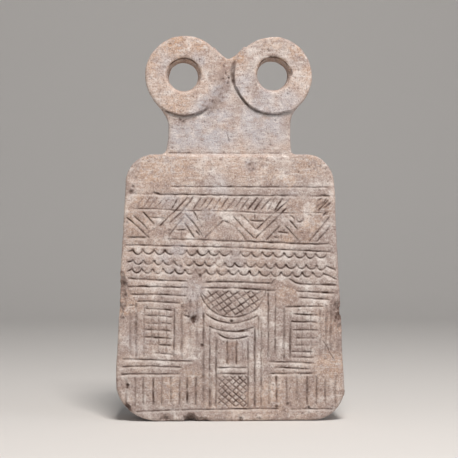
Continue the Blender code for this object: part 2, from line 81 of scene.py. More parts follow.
def edge_drop(distance: Array, radius: Array | float) -> Array:
    """How far a face has fallen round its edge: a quarter circle of that radius inside the outline."""
    reach = np.clip(radius + distance, 0.0, radius)
    return radius - np.sqrt(np.maximum(radius * radius - reach * reach, 0.0))


@dataclass(frozen=True)
class LatticeNoise:
    """Smooth random values: random numbers at the corners of cubes, blended between the corners.

    Attributes:
        size: the cubes' edge in millimetres, which is about the size of one bump.
        seed: what the random numbers start from.
        CORNERS: how many cubes there are each way before the pattern repeats.
    """

    size: float
    seed: int
    CORNERS: ClassVar[int] = 48

    def at(self, points: Array) -> Array:
        """Values from -1 to 1 at points: each axis blends its two sides by 3t² - 2t³.

        Args:
            points: places in millimetres, one row of three numbers each.

        Returns:
            One value for each row.
        """
        table = np.random.default_rng(self.seed).uniform(-1.0, 1.0, (self.CORNERS,) * 3)
        scaled = points / self.size
        corner = np.floor(scaled).astype(np.int64)
        share = scaled - corner
        share = share * share * (3.0 - 2.0 * share)
        total = np.zeros(len(points))
        for step in np.ndindex(2, 2, 2):
            weight = np.prod(np.where(step, share, 1.0 - share), axis=1)
            index = (corner + step) % self.CORNERS
            total += weight * table[index[:, 0], index[:, 1], index[:, 2]]
        return total

    def on_face(self, x: Array, z: Array) -> Array:
        """Values from -1 to 1 over the face, in the shape of x."""
        flat = np.column_stack((np.ravel(x), np.zeros(np.size(x)), np.ravel(z)))
        return self.at(flat).reshape(np.shape(x))


@dataclass(frozen=True)
class Outline:
    """The idol seen from the front, as signed distances that are negative inside the stone.

    Attributes:
        slab_height, foot_half, shoulder_half: the slab's height and its half widths.
        lean_foot: the height at which its sides begin to lean in.
        foot_corners, shoulder_corner: its corners' radii, the left foot's first.
        neck_middle, neck_half: where the neck stands and its half width.
        neck_root: how far the neck reaches down into the slab.
        neck_flare: how far each side of the neck widens at its foot, and over what height.
        neck_hollow, throat_hollows: the hollows between neck and slab, and between neck and rings.
        ring_centres, ring_radii: the two rings, the left one first.
        ring_pinch: how much smaller the right ring's face is where it hangs over the neck.
        pinch_angles: from where to where that pinch grows, and where it fades, in degrees.
        eye_centres, eye_radius: the two holes.
        web_middle, web_dip, web_round: the valley between the rings, its floor and its roundness.
        web_slopes, web_halves: how steeply and how far it rises to each side.
        inset: how far the worn edge lies inside the true shape.
        wander: how much it strays from there in long and in short waves.
    """

    slab_height: float = 201.1
    foot_half: float = 86.6
    shoulder_half: float = 79.0
    lean_foot: float = 24.0
    foot_corners: tuple[float, float] = (32.0, 25.0)
    shoulder_corner: float = 21.8
    neck_middle: float = -0.3
    neck_half: float = 46.5
    neck_root: float = 10.0
    neck_flare: tuple[Place, Place] = ((4.0, 16.0), (1.8, 9.0))
    neck_hollow: float = 1.5
    throat_hollows: tuple[float, float] = (10.0, 6.5)
    ring_centres: tuple[Place, Place] = ((-33.9, 260.2), (32.3, 260.0))
    ring_radii: tuple[float, float] = (30.2, 29.8)
    ring_pinch: float = 1.2
    pinch_angles: tuple[Place, Place] = ((190.0, 215.0), (285.0, 300.0))
    eye_centres: tuple[Place, Place] = ((-34.9, 260.1), (32.7, 261.3))
    eye_radius: float = 12.4
    web_middle: float = -1.1
    web_dip: float = 274.3
    web_round: float = 5.6
    web_slopes: tuple[float, float] = (1.27, 1.15)
    web_halves: tuple[float, float] = (13.5, 14.5)
    inset: float = 0.3
    wander: tuple[float, float] = (0.2, 0.1)

    def slab(self, x: Array, z: Array) -> Array:
        """The slab: between two leaning sides, its top and its foot, with round corners.

        Args:
            x: how far across.
            z: how far up.

        Returns:
            The signed distance at each place.
        """
        low, high = self.lean_foot, self.slab_height - self.shoulder_corner
        lean = (self.foot_half - self.shoulder_half) / (high - low)
        half = self.foot_half - lean * np.clip(z - low, 0.0, high - low)
        side = (np.abs(x) - half) * math.cos(math.atan(lean))
        top = round_and(side, z - self.slab_height, self.shoulder_corner)
        corner = np.where(x < 0.0, self.foot_corners[0], self.foot_corners[1])
        return round_and(top, -z, corner)

    def neck(self, x: Array, z: Array) -> Array:
        """The neck, whose sides widen to the slab as quarters of an ellipse.

        Args:
            x: how far across.
            z: how far up.

        Returns:
            The signed distance at each place.
        """
        left = x < self.neck_middle
        out, rise = (np.where(left, *pair) for pair in zip(*self.neck_flare))
        share = np.clip(1.0 - (z - self.slab_height) / rise, 0.0, 1.0)
        half = self.neck_half + out * (1.0 - np.sqrt(1.0 - share * share))
        side = np.abs(x - self.neck_middle) - half
        below = self.slab_height - self.neck_root - z
        return np.maximum(np.maximum(side, z - self.ring_centres[0][1]), below)

    def web(self, x: Array, z: Array) -> Array:
        """The web between the rings, whose top is a valley: a hyperbola about its middle.

        Args:
            x: how far across.
            z: how far up.

        Returns:
            The signed distance at each place.
        """
        aside = x - self.web_middle
        slope = np.where(aside < 0.0, *self.web_slopes)
        half = np.where(aside < 0.0, *self.web_halves)
        rise = np.hypot(aside, self.web_round) - self.web_round
        top = (z - self.web_dip - slope * rise) / np.hypot(1.0, slope)
        return np.maximum(np.maximum(top, np.abs(aside) - half), self.slab_height - z)

    def ring(self, side: int, x: Array, z: Array) -> Array:
        """One eye ring's disc, the left one for side 0."""
        centre = self.ring_centres[side]
        return np.hypot(x - centre[0], z - centre[1]) - self.ring_radii[side]

    def face_radius(self, angle: Array) -> Array:
        """The right ring's face: a circle, pinched smoothly where it hangs over the neck.

        Args:
            angle: the way from the ring's centre, in degrees.

        Returns:
            The radius that way.
        """
        (begin, full), (until, end) = self.pinch_angles
        pinch = self.ring_pinch * smooth(angle, begin, full) * smooth(-angle, -end, -until)
        return self.ring_radii[1] - pinch

    def ring_face(self, x: Array, z: Array) -> Array:
        """How far a place lies outside the right ring's face.

        Args:
            x: how far across.
            z: how far up.

        Returns:
            The distance, negative on the face.
        """
        aside, above = x - self.ring_centres[1][0], z - self.ring_centres[1][1]
        angle = np.degrees(np.arctan2(above, aside)) % 360.0
        return np.hypot(aside, above) - self.face_radius(angle)

    def eyes(self, x: Array, z: Array) -> Array:
        """How far a place is from the stone around the two holes, positive in a hole."""
        found = [np.hypot(x - across, z - up) for across, up in self.eye_centres]
        return self.eye_radius - np.minimum(*found)

    def distance(self, x: Array, z: Array) -> Array:
        """The whole stone: slab, neck and rings joined by hollows, and the web, less the holes.

        A hand-worked edge wanders, so the outline lies up to 0.6 mm inside the true shape.

        Args:
            x: how far across.
            z: how far up.

        Returns:
            The signed distance at each place.
        """
        joined = round_or(self.slab(x, z), self.neck(x, z), self.neck_hollow)
        for side in (0, 1):
            joined = round_or(joined, self.ring(side, x, z), self.throat_hollows[side])
        joined = np.minimum(joined, self.web(x, z))
        long, short = self.wander
        wander = long * LatticeNoise(13.0, 11).on_face(x, z) + short * LatticeNoise(4.0, 12).on_face(x, z)
        return np.maximum(joined, self.eyes(x, z)) + self.inset + wander

    def slope(self, x: Array, z: Array, step: float = 0.05) -> tuple[Array, Array]:
        """The way out of the stone at each place, as a unit vector from central differences.

        Args:
            x: how far across.
            z: how far up.
            step: half the gap between the two places of a difference.

        Returns:
            The vector's parts across and up.
        """
        out_x = self.distance(x + step, z) - self.distance(x - step, z)
        out_z = self.distance(x, z + step) - self.distance(x, z - step)
        length = np.maximum(np.hypot(out_x, out_z), 1e-9)
        return out_x / length, out_z / length


class Tool(Enum):
    """How a groove was cut: its width at the face and its depth, in millimetres."""

    SCRATCH = (0.95, 0.4)
    FINE = (1.2, 0.65)
    PLAIN = (1.5, 0.9)
    STRONG = (1.9, 1.2)
    SOFT = (2.4, 0.75)
    GULLY = (3.2, 1.3)


@dataclass(frozen=True)
class Stroke:
    """One incised line.

    Attributes:
        points: where it runs over the face, as across and up.
        tool: its section.
        dirt_and_shade: how dark the soil in it is, from 0 to 1; in the grooves under the rings and along the
            shoulder it is painted shadow.
    """

    points: Line
    tool: Tool
    dirt_and_shade: float


@dataclass(frozen=True)
class Patch:
    """A round area of the face.

    Attributes:
        across, up, radius: its place and size.
        strength: how strong it is, from 0 to 1, or how deep it is where it is a pit.
    """

    across: float
    up: float
    radius: float
    strength: float = 1.0

    def at(self, x: Array, z: Array) -> Array:
        """Its strength at each place, fading smoothly over its outer half."""
        reach = np.hypot(x - self.across, z - self.up) / self.radius
        return self.strength * (1.0 - smooth(reach, 0.45, 1.2))


def strongest(patches: tuple[Patch, ...], x: Array, z: Array) -> Array:
    """The largest strength of several patches at each place.

    Args:
        patches: the areas.
        x: how far across.
        z: how far up.

    Returns:
        One value for each place.
    """
    total = np.zeros(np.shape(x))
    for patch in patches:
        total = np.maximum(total, patch.at(x, z))
    return total


def sway(number: int) -> float:
    """A small repeatable unevenness of the hand, from -1 to 1."""
    return math.sin(number * 2.399 + 0.7) * math.cos(number * 1.13)


def places(x: Array, z: Array) -> Line:
    """Arrays of across and up as one line of places."""
    return tuple(zip(np.asarray(x).tolist(), np.asarray(z).tolist()))


def level(left: float, right: float, up: float, end_up: float | None = None) -> Line:
    """The two ends of a line ruled across the face."""
    return ((left, up), (right, up if end_up is None else end_up))


def upright(across: float, top: float, foot: float, lean: float = 0.0) -> Line:
    """The two ends of a line straight down the face."""
    return ((across + lean, top), (across, foot))


def bow(left: float, right: float, left_up: float, right_up: float, low: float) -> Line:
    """A hanging curve: a parabola from one end to the other, lowest in its middle.

    Args:
        left: where it starts across.
        right: where it ends across.
        left_up: how high it starts.
        right_up: how high it ends.
        low: how high its lowest place is.

    Returns:
        The curve as a line of places.
    """
    share = np.linspace(-1.0, 1.0, 13)
    across = left + (right - left) * (share + 1.0) / 2.0
    ends = left_up + (right_up - left_up) * (share + 1.0) / 2.0
    return places(across, low + (ends - low) * share * share)


def arc(centre: Place, radius: Array | float, first: float, last: float) -> Line:
    """A round line about a centre, from one angle to another in degrees."""
    angle = np.radians(np.linspace(first, last, 17))
    return places(centre[0] + radius * np.cos(angle), centre[1] + radius * np.sin(angle))


def lattice(slope: float, starts: tuple[float, ...], within: Callable[[Array, Array], Array]) -> list[Line]:
    """Parallel slanting lines, each kept only where it lies within an area.

    Args:
        slope: how much a line rises for each millimetre across.
        starts: how high each line is at the middle of the stone.
        within: says which places are inside the area.

    Returns:
        The two ends of each line.
    """
    found = []
    x = np.linspace(-30.0, 30.0, 241)
    for start in starts:
        z = start + slope * x
        inside = np.nonzero(within(x, z))[0]
        if len(inside):
            ends = inside[[0, -1]]
            found.append(places(x[ends], z[ends]))
    return found


@dataclass(frozen=True)
class Ruling:
    """Single lines: rules, courses, sills, lintels and scars.

    Attributes:
        lines: each line's places, its tool and its dirt.
    """

    lines: tuple[tuple[Line, Tool, float], ...]

    def strokes(self) -> list[Stroke]:
        """The strokes of all lines."""
        return [Stroke(points, tool, dirt_and_shade) for points, tool, dirt_and_shade in self.lines]


RULES = Ruling((
    (level(-45.4, 74.5, 176.5, 176.0), Tool.FINE, 0.75),
    (level(-0.8, 4.6, 176.6, 176.2), Tool.STRONG, 0.8),
    (level(-76.5, -56.0, 171.4, 170.8), Tool.FINE, 0.35),
    (((-57.4, 170.7), (1.9, 169.9), (74.9, 169.4)), Tool.PLAIN, 0.6),
    (level(-58.6, -52.6, 172.3, 170.6), Tool.STRONG, 1.0),
    (level(68.5, 75.4, 169.8, 169.3), Tool.STRONG, 1.0),
    (((-75.0, 160.2), (-53.3, 159.6), (-43.4, 158.7), (1.9, 157.9), (20.8, 156.8)), Tool.FINE, 0.62),
    (((20.8, 156.8), (39.4, 156.5), (70.0, 157.1)), Tool.FINE, 0.5),
    (level(-77.5, -62.6, 138.3, 138.1), Tool.STRONG, 0.8),
    (level(-74.4, -66.4, 138.2, 138.1), Tool.STRONG, 1.0),
    (((-47.4, 136.9), (-29.2, 136.8), (-16.6, 136.3), (1.9, 135.5)), Tool.PLAIN, 0.68),
    (((0.0, 135.6), (20.8, 134.9), (42.6, 134.1), (56.3, 133.1), (75.6, 133.3)), Tool.PLAIN, 0.85),
    (level(28.0, 50.0, 134.7, 133.5), Tool.STRONG, 1.0),
    (((-79.0, 132.7), (-51.1, 131.9), (1.9, 130.8), (76.0, 127.4)), Tool.PLAIN, 0.8),
    (((-71.6, 7.4), (-51.8, 8.2), (-42.6, 8.8), (-1.1, 9.0), (15.9, 9.4), (37.2, 9.1)), Tool.FINE, 0.75),
    (level(45.0, 78.6, 9.1, 8.8), Tool.FINE, 0.75),
    (level(-2.0, 14.0, 9.0, 9.3), Tool.PLAIN, 0.9),
))

LEFT_COURSES = Ruling((
    (((-77.2, 107.6), (-67.0, 106.9), (-53.2, 106.0), (-32.1, 105.2)), Tool.PLAIN, 0.8),
    (level(-57.5, -50.5, 106.4, 105.9), Tool.STRONG, 1.0),
    (((-77.2, 101.4), (-54.0, 101.3), (-31.0, 100.4)), Tool.PLAIN, 0.75),
    (level(-68.5, -60.5, 101.5, 101.3), Tool.STRONG, 1.0),
    (((-76.0, 95.4), (-50.0, 95.4), (-32.5, 94.0)), Tool.PLAIN, 0.75),
    (((-70.6, 90.2), (-58.6, 90.2), (-37.5, 88.7)), Tool.PLAIN, 0.7),
    (level(-76.8, -71.2, 87.3), Tool.FINE, 0.6),
))

LEFT_SILLS = Ruling((
    (((-81.6, 46.7), (-66.3, 46.7), (-36.2, 45.3), (-28.1, 45.1)), Tool.PLAIN, 0.75),
    (((-81.6, 41.3), (-56.6, 41.6), (-36.4, 40.6)), Tool.PLAIN, 0.7),
    (((-82.6, 35.6), (-67.9, 36.0), (-37.0, 35.4)), Tool.PLAIN, 0.6),
))

RIGHT_COURSES = Ruling((
    (((43.8, 107.4), (49.5, 104.2), (53.5, 103.0), (66.8, 102.7), (80.4, 102.2)), Tool.PLAIN, 0.75),
    (level(66.5, 80.4, 102.6, 102.2), Tool.STRONG, 1.0),
    (((49.5, 97.7), (66.8, 96.9), (79.0, 96.3)), Tool.PLAIN, 0.8),
    (level(67.5, 78.8, 96.8, 96.3), Tool.STRONG, 1.0),
    (((51.1, 93.1), (60.7, 92.3), (75.4, 91.4)), Tool.PLAIN, 0.8),
    (level(66.5, 74.0, 91.9, 91.5), Tool.STRONG, 1.0),
    (((40.6, 85.8), (52.7, 86.2), (70.8, 86.2)), Tool.PLAIN, 0.7),
    (level(46.8, 54.5, 86.0, 86.2), Tool.STRONG, 0.95),
))

RIGHT_SILLS = Ruling((
    (((29.0, 44.6), (47.0, 44.2), (64.6, 43.3)), Tool.PLAIN, 0.75),
    (((32.4, 40.2), (47.0, 39.9), (61.2, 39.1)), Tool.PLAIN, 0.95),
    (level(30.2, 63.6, 35.7, 35.8), Tool.PLAIN, 0.7),
))

LINTELS = Ruling((
    (((-19.4, 104.3), (-7.9, 104.9), (9.3, 104.4), (30.9, 103.6)), Tool.PLAIN, 0.8),
    (level(-9.6, -0.4, 104.9, 104.6), Tool.STRONG, 1.0),
    (((34.3, 107.4), (30.5, 102.6)), Tool.PLAIN, 0.65),
    (((-23.2, 100.1), (3.2, 100.1), (13.2, 99.6), (28.5, 98.2), (34.2, 98.4)), Tool.PLAIN, 0.8),
    (level(4.0, 24.0, 100.0, 98.7), Tool.STRONG, 0.9),
))

SCARS = Ruling((
    (((69.1, 60.9), (73.1, 56.1), (75.3, 51.0), (77.0, 48.7), (79.8, 42.3)), Tool.FINE, 0.9),
    (((-2.7, 218.2), (-1.9, 214.8), (-0.4, 210.4)), Tool.FINE, 0.55),
    (((64.2, 159.8), (70.4, 165.4)), Tool.PLAIN, 0.85),
    (((66.2, 158.2), (74.6, 167.0)), Tool.PLAIN, 0.85),
    (((70.2, 159.6), (76.4, 164.8)), Tool.PLAIN, 0.85),
    (((65.2, 165.4), (69.6, 168.2)), Tool.PLAIN, 0.85),
    (((69.6, 154.2), (73.0, 157.8)), Tool.PLAIN, 0.85),
    (((68.2, 161.8), (73.4, 168.4)), Tool.FINE, 0.8),
    (((-35.4, 79.6), (-29.0, 78.6)), Tool.PLAIN, 0.8),
    (((-72.6, 60.2), (-70.6, 72.0)), Tool.SOFT, 0.4),
))


@dataclass(frozen=True)
class HatchedBand:
    """The band of slanting strokes under the upper rules: faint at the left, strong at the right.

    Attributes:
        left: where the band begins.
        foot, fall: the height of the strokes' feet there, and how much it falls per millimetre.
        head: the height of their heads.
        faint, middling, strong, worn: where the strokes of each kind stand, with their leans.
    """

    left: float = -75.0
    foot: float = 160.5
    fall: float = 0.021
    head: float = 168.7
    faint: Line = ((-70.2, 5.2), (-65.4, 5.6), (-61.6, 7.0), (-56.2, 7.6), (-51.6, 6.2))
    middling: Line = (
        (-28.0, 6.4), (-23.2, 6.6), (-18.6, 6.2), (-12.6, 5.6), (-7.6, 6.4), (-3.0, 7.4),
        (2.4, 7.4), (7.6, 7.0),
    )
    strong: Line = ((-44.4, 6.0), (13.1, 8.0), (18.0, 7.4), (22.9, 8.0), (27.8, 6.4), (32.9, 7.0))
    worn: Line = ((46.0, 5.6), (51.0, 6.0), (56.4, 6.0))

    def strokes(self) -> list[Stroke]:
        """The band's strokes, each a little off the even spacing.

        Returns:
            The strokes, group by group.
        """
        made = []
        kinds = (
            (self.faint, Tool.FINE, 0.6), (self.middling, Tool.FINE, 0.82),
            (self.strong, Tool.PLAIN, 1.1), (self.worn, Tool.SCRATCH, 0.35),
        )
        for group, tool, dirt_and_shade in kinds:
            for number, (across, lean) in enumerate(group):
                along = across - self.left
                low = self.foot - self.fall * along + 0.5 * sway(number + 3)
                high = self.head - 0.2 * self.fall * along + 0.5 * sway(number + 5)
                dark = dirt_and_shade + 0.12 * sway(number + 9)
                made.append(Stroke(((across, low), (across + lean, high)), tool, dark))
        return made


@dataclass(frozen=True)
class ZigzagBand:
    """Nested zigzag lines, cut freehand, with bars, stubs and a boss in their triangles.

    Attributes:
        falling, rising: the two ways that the lines run.
        long: rising lines that run on through the band of hatching.
        bars: level lines in the triangles, as left, right, up, end and dirt.
        stubs: short upright lines, as across, top and foot.
        boss, boss_radius: the round mark at the right.
    """

    falling: tuple[Line, ...] = (
        ((-78.4, 153.6), (-74.6, 150.8), (-60.6, 137.6)), ((-73.2, 155.2), (-65.8, 148.6), (-61.4, 143.6)),
        ((-66.2, 157.8), (-60.4, 151.9), (-56.8, 147.9)), ((-34.4, 156.2), (-28.1, 149.7), (-20.6, 138.8)),
        ((-34.4, 149.2), (-29.7, 142.6), (-26.4, 137.4)), ((-28.3, 159.0), (-25.9, 154.6), (-21.6, 147.2)),
        ((-26.2, 143.5), (-22.0, 139.1)), ((2.0, 154.3), (9.8, 145.3), (18.2, 137.7)),
        ((7.4, 155.6), (13.6, 150.3), (19.2, 144.7)),
        ((-4.4, 151.0), (0.4, 148.2), (3.6, 146.8), (12.2, 135.8)),
        ((41.0, 147.2), (45.9, 142.0), (51.6, 135.5)), ((44.2, 151.5), (47.0, 148.6), (51.4, 144.0)),
    )
    rising: tuple[Line, ...] = (
        ((-62.4, 141.2), (-56.6, 144.8)), ((-46.6, 138.6), (-42.9, 143.7), (-38.5, 149.2), (-34.5, 153.8)),
        ((-19.6, 137.3), (-12.2, 144.2), (-4.4, 151.5)), ((-16.6, 143.6), (-11.6, 148.6)),
        ((26.6, 135.8), (32.8, 142.0), (37.9, 147.2)), ((59.0, 134.7), (66.2, 142.6), (75.6, 154.2)),
        ((65.1, 134.8), (71.6, 141.5), (75.7, 147.7)),
    )
    long: tuple[Line, ...] = (
        ((-53.4, 146.5), (-45.6, 154.1), (-40.7, 159.0), (-31.7, 168.8)),
        ((-46.0, 148.2), (-40.7, 153.5), (-35.2, 158.5), (-27.4, 169.4)),
        ((19.9, 144.5), (32.8, 156.3), (40.5, 162.8), (45.0, 167.4)),
        ((18.8, 137.4), (31.7, 149.2), (42.8, 160.3)),
    )
    bars: tuple[tuple[float, float, float, float, float], ...] = (
        (-60.4, -48.4, 153.4, 152.7, 0.5), (-41.4, -32.2, 143.7, 143.9, 0.85),
        (14.2, 26.2, 151.1, 150.5, 0.75), (35.4, 44.5, 142.4, 141.2, 1.0), (32.8, 36.8, 138.5, 138.1, 0.75),
    )
    stubs: tuple[tuple[float, float, float], ...] = (
        (-36.8, 143.4, 137.4), (18.6, 156.4, 151.2), (38.3, 141.0, 136.6), (-73.7, 144.2, 139.8),
        (-69.4, 141.6, 139.4), (-77.6, 151.0, 148.6),
    )
    boss: Place = (52.5, 152.2)
    boss_radius: float = 2.4

    def strokes(self) -> list[Stroke]:
        """The band's strokes, some darker than others.

        Returns:
            The zigzag lines, then the bars, the stubs and the round marks.
        """
        made = [Stroke(line, Tool.PLAIN, 0.94) for line in self.long]
        for number, line in enumerate(self.falling + self.rising):
            made.append(Stroke(line, Tool.PLAIN, 0.78 + 0.2 * sway(number)))
        for left, right, up, end_up, dirt_and_shade in self.bars:
            made.append(Stroke(level(left, right, up, end_up), Tool.PLAIN, dirt_and_shade))
        for across, top, foot in self.stubs:
            made.append(Stroke(upright(across, top, foot), Tool.FINE, 0.7))
        ring = arc(self.boss, self.boss_radius, -200.0, 20.0)
        hooks = (arc((59.3, 151.8), 3.4, 40.0, 130.0), arc((44.4, 150.6), 4.0, 20.0, 80.0))
        made.extend(Stroke(line, Tool.PLAIN, 0.7) for line in (ring,) + hooks)
        return made


@dataclass(frozen=True)
class ScallopRow:
    """One row of hanging arcs whose cusps point up.

    Attributes:
        first, pitch, count: where the first cusp is, the arcs' width and their number.
        left_up, right_up: how high the cusps are at the row's two ends.
        sag: how far the arcs hang below their cusps.
        lead, tail: the line before the first cusp and the line after the last.
        number: which row it is, for the unevenness of the hand.
    """

    first: float
    pitch: float
    count: int
    left_up: float
    right_up: float
    sag: float
    lead: Line
    tail: Line
    number: int

    def strokes(self) -> list[Stroke]:
        """The row as one stroke, each arc falling as 1 - |2t - 1|^2.2, and a deeper tent at each cusp.

        Returns:
            The row's stroke and its tents.
        """
        points = list(self.lead)
        tents = []
        share = np.linspace(0.0, 1.0, 10)[:-1]
        for arch in range(self.count):
            hand = arch + 7 * self.number
            sag = self.sag * (1.0 + 0.12 * sway(hand))
            start = self.first + self.pitch * arch + 0.4 * sway(hand + 2)
            until = self.first + self.pitch * (arch + 1) + 0.4 * sway(hand + 3)
            up = self.left_up + (self.right_up - self.left_up) * (arch + share) / self.count
            across = start + (until - start) * share
            points.extend(places(across, up - sag * (1.0 - np.abs(2.0 * share - 1.0) ** 2.2)))
            cusp = (start, float(up[0]) + 0.2)
            legs = ((start - 1.1, cusp[1] - 1.6), cusp, (start + 1.2, cusp[1] - 1.7))
            tents.append(Stroke(legs, Tool.STRONG, 0.85 + 0.15 * sway(3 * hand)))
        points.append((self.first + self.pitch * self.count, self.right_up))
        points.extend(self.tail)
        return [Stroke(tuple(points), Tool.PLAIN, 0.88)] + tents


SCALLOPS = (
    ScallopRow(-73.4, 8.13, 18, 128.9, 125.3, 2.9, ((-77.4, 127.4), (-74.6, 128.2)), (), 0),
    ScallopRow(-73.2, 7.68, 19, 120.9, 116.6, 2.7, ((-78.0, 119.4), (-74.6, 120.2)), ((80.0, 113.6),), 1),
    ScallopRow(-74.3, 8.05, 18, 114.6, 110.9, 2.9, ((-78.4, 112.0), (-75.6, 113.6)), ((80.5, 106.6),), 2),
)


@dataclass(frozen=True)
class Window:
    """A window: its rungs, and the uprights of its frame and panes.

    Attributes:
        rungs: each rung as left, right, up, how much it falls, and dirt.
        uprights: each upright as across, top, foot, tool and dirt.
        lean: how far an upright's top stands to the right of its foot.
    """

    rungs: tuple[tuple[float, float, float, float, float], ...]
    uprights: tuple[tuple[float, float, float, Tool, float], ...]
    lean: float = 0.3

    def strokes(self) -> list[Stroke]:
        """The window's strokes.

        Returns:
            The rungs, then the uprights.
        """
        made = []
        for left, right, up, fall, dirt_and_shade in self.rungs:
            made.append(Stroke(level(left, right, up, up - fall), Tool.PLAIN, dirt_and_shade))
        for across, top, foot, tool, dirt_and_shade in self.uprights:
            made.append(Stroke(upright(across, top, foot, self.lean), tool, dirt_and_shade))
        return made


WINDOWS = (
    Window(
        rungs=(
            (-64.4, -43.2, 84.9, 1.4, 0.95), (-64.7, -42.5, 79.9, 1.3, 0.8), (-64.0, -52.5, 73.9, 0.2, 0.4),
            (-53.0, -44.0, 73.7, 0.2, 0.75), (-64.6, -44.4, 69.0, 1.0, 0.6), (-65.9, -43.4, 63.6, 1.4, 0.95),
            (-54.4, -44.0, 57.6, 0.5, 0.95), (-65.0, -57.0, 58.0, 0.3, 0.35), (-57.6, -42.4, 51.3, 0.9, 0.7),
        ),
        uprights=(
            (-70.9, 89.4, 47.0, Tool.SOFT, 0.55), (-70.8, 80.0, 71.0, Tool.STRONG, 0.85),
            (-64.9, 86.0, 48.6, Tool.FINE, 0.7), (-59.4, 84.4, 51.0, Tool.FINE, 0.5),
            (-54.0, 84.0, 50.4, Tool.FINE, 0.6), (-48.2, 84.0, 50.0, Tool.FINE, 0.5),
            (-42.3, 85.4, 47.6, Tool.PLAIN, 0.75), (-36.7, 88.6, 47.0, Tool.SOFT, 0.4),
            (-30.2, 92.0, 84.6, Tool.SOFT, 0.6), (-30.6, 84.0, 48.0, Tool.SOFT, 0.3),
            (-24.8, 96.4, 90.0, Tool.SOFT, 0.6), (-25.4, 90.0, 50.0, Tool.SOFT, 0.3),
            (-75.5, 84.0, 49.0, Tool.SOFT, 0.3),
        ),
    ),
    Window(
        rungs=(
            (46.4, 66.8, 80.6, 1.0, 1.0), (45.6, 65.8, 74.8, 0.3, 0.8), (45.4, 48.6, 75.0, 0.1, 1.0),
            (51.4, 61.4, 74.8, 0.2, 1.0), (46.8, 66.6, 68.6, 0.2, 0.75), (49.0, 66.0, 62.5, 0.3, 0.5),
            (48.0, 66.0, 57.2, 0.3, 0.45), (45.6, 62.6, 52.2, 0.3, 0.6), (45.6, 50.2, 52.3, 0.1, 1.0),
            (46.0, 63.6, 48.0, 0.3, 0.6),
        ),
        uprights=(
            (45.2, 82.0, 75.0, Tool.PLAIN, 0.5), (45.2, 75.4, 46.6, Tool.STRONG, 0.85),
            (40.4, 86.0, 46.0, Tool.SOFT, 0.55), (67.6, 84.0, 48.0, Tool.SOFT, 0.4),
            (72.0, 88.0, 50.0, Tool.SOFT, 0.5), (75.7, 88.0, 52.0, Tool.SOFT, 0.45),
            (54.0, 80.0, 49.0, Tool.FINE, 0.4), (60.5, 80.0, 49.0, Tool.FINE, 0.45),
            (50.0, 80.0, 49.0, Tool.SCRATCH, 0.4), (81.0, 70.0, 48.0, Tool.SOFT, 0.3),
        ),
    ),
)


@dataclass(frozen=True)
class PlankBand:
    """The upright strokes between the sills and the foot rule.

    Attributes:
        top, foot: how far up they begin and end.
        strong, plain, soft: where the strokes of each kind stand.
    """

    top: float = 34.0
    foot: float = 12.0
    strong: tuple[float, ...] = (-57.9, -32.4, -26.0, 35.1, 58.0)
    plain: tuple[float, ...] = (-71.4, -65.5, -51.5, -44.5, -38.1, 42.5, 65.1, 71.6)
    soft: tuple[float, ...] = (-78.4, -20.6, 29.4, 50.4, 79.3)

    def strokes(self) -> list[Stroke]:
        """The band's strokes, each ending a little higher or lower than the next.

        Returns:
            The strokes, group by group.
        """
        made = []
        kinds = (
            (self.strong, Tool.STRONG, 0.85), (self.plain, Tool.PLAIN, 0.62), (self.soft, Tool.SOFT, 0.38),
        )
        for group, tool, dirt_and_shade in kinds:
            for number, across in enumerate(group):
                top = self.top + 0.8 * sway(number + 3)
                foot = self.foot + 1.4 * sway(number + 8)
                dark = dirt_and_shade + 0.12 * sway(number + 5)
                made.append(Stroke(upright(across, top, foot, 0.3 * sway(number)), tool, dark))
        return made


@dataclass(frozen=True)
class Basin:
    """The latticed basin under the lintels: half an ellipse, with three bows hanging below it.

    Attributes:
        middle, half, top, depth: the half ellipse.
        clear: how far the lattice stays from its edges.
        rising, falling: the slopes of the lattice's two ways.
        rising_starts, falling_starts: how high its lines are at the middle of the stone.
        bows: each bow as left, right, its two ends' heights, its lowest height, and dirt.
    """

    middle: float = 2.3
    half: float = 24.7
    top: float = 99.4
    depth: float = 21.2
    clear: float = 0.8
    rising: float = 0.64
    falling: float = -1.15
    rising_starts: tuple[float, ...] = tuple(77.4 + 5.3 * k for k in range(6))
    falling_starts: tuple[float, ...] = tuple(72.0 + 6.3 * k for k in range(8))
    bows: tuple[tuple[float, float, float, float, float, float], ...] = (
        (-18.6, 20.8, 81.0, 79.2, 73.7, 0.8), (-16.6, 18.8, 71.8, 71.0, 67.4, 0.75),
        (-3.0, 15.0, 67.6, 68.2, 67.4, 1.0), (-9.8, 14.2, 66.2, 64.0, 61.8, 0.85),
    )

    def low(self, x: Array) -> Array:
        """How high the basin's floor is at each place across."""
        aside = np.clip((x - self.middle) / self.half, -1.0, 1.0)
        return self.top - self.depth * np.sqrt(1.0 - aside * aside)

    def strokes(self) -> list[Stroke]:
        """The basin's outline, its lattice and its bows.

        Returns:
            The outline, the rising lines, the falling lines and the bows.
        """
        x = self.middle + self.half * np.cos(np.linspace(np.pi, 0.0, 25))
        made = [Stroke(places(x, self.low(x)), Tool.PLAIN, 0.7)]

        def within(x: Array, z: Array) -> Array:
            """Which places lie in the basin, clear of its edges."""
            return (z > self.low(x) + self.clear) & (z < self.top - self.clear)

        for number, line in enumerate(lattice(self.rising, self.rising_starts, within)):
            made.append(Stroke(line, Tool.PLAIN, 0.9 + 0.15 * sway(number)))
        for number, line in enumerate(lattice(self.falling, self.falling_starts, within)):
            made.append(Stroke(line, Tool.FINE, 0.68 + 0.2 * sway(number)))
        for left, right, left_up, right_up, low, dirt_and_shade in self.bows:
            made.append(Stroke(bow(left, right, left_up, right_up, low), Tool.PLAIN, dirt_and_shade))
        return made


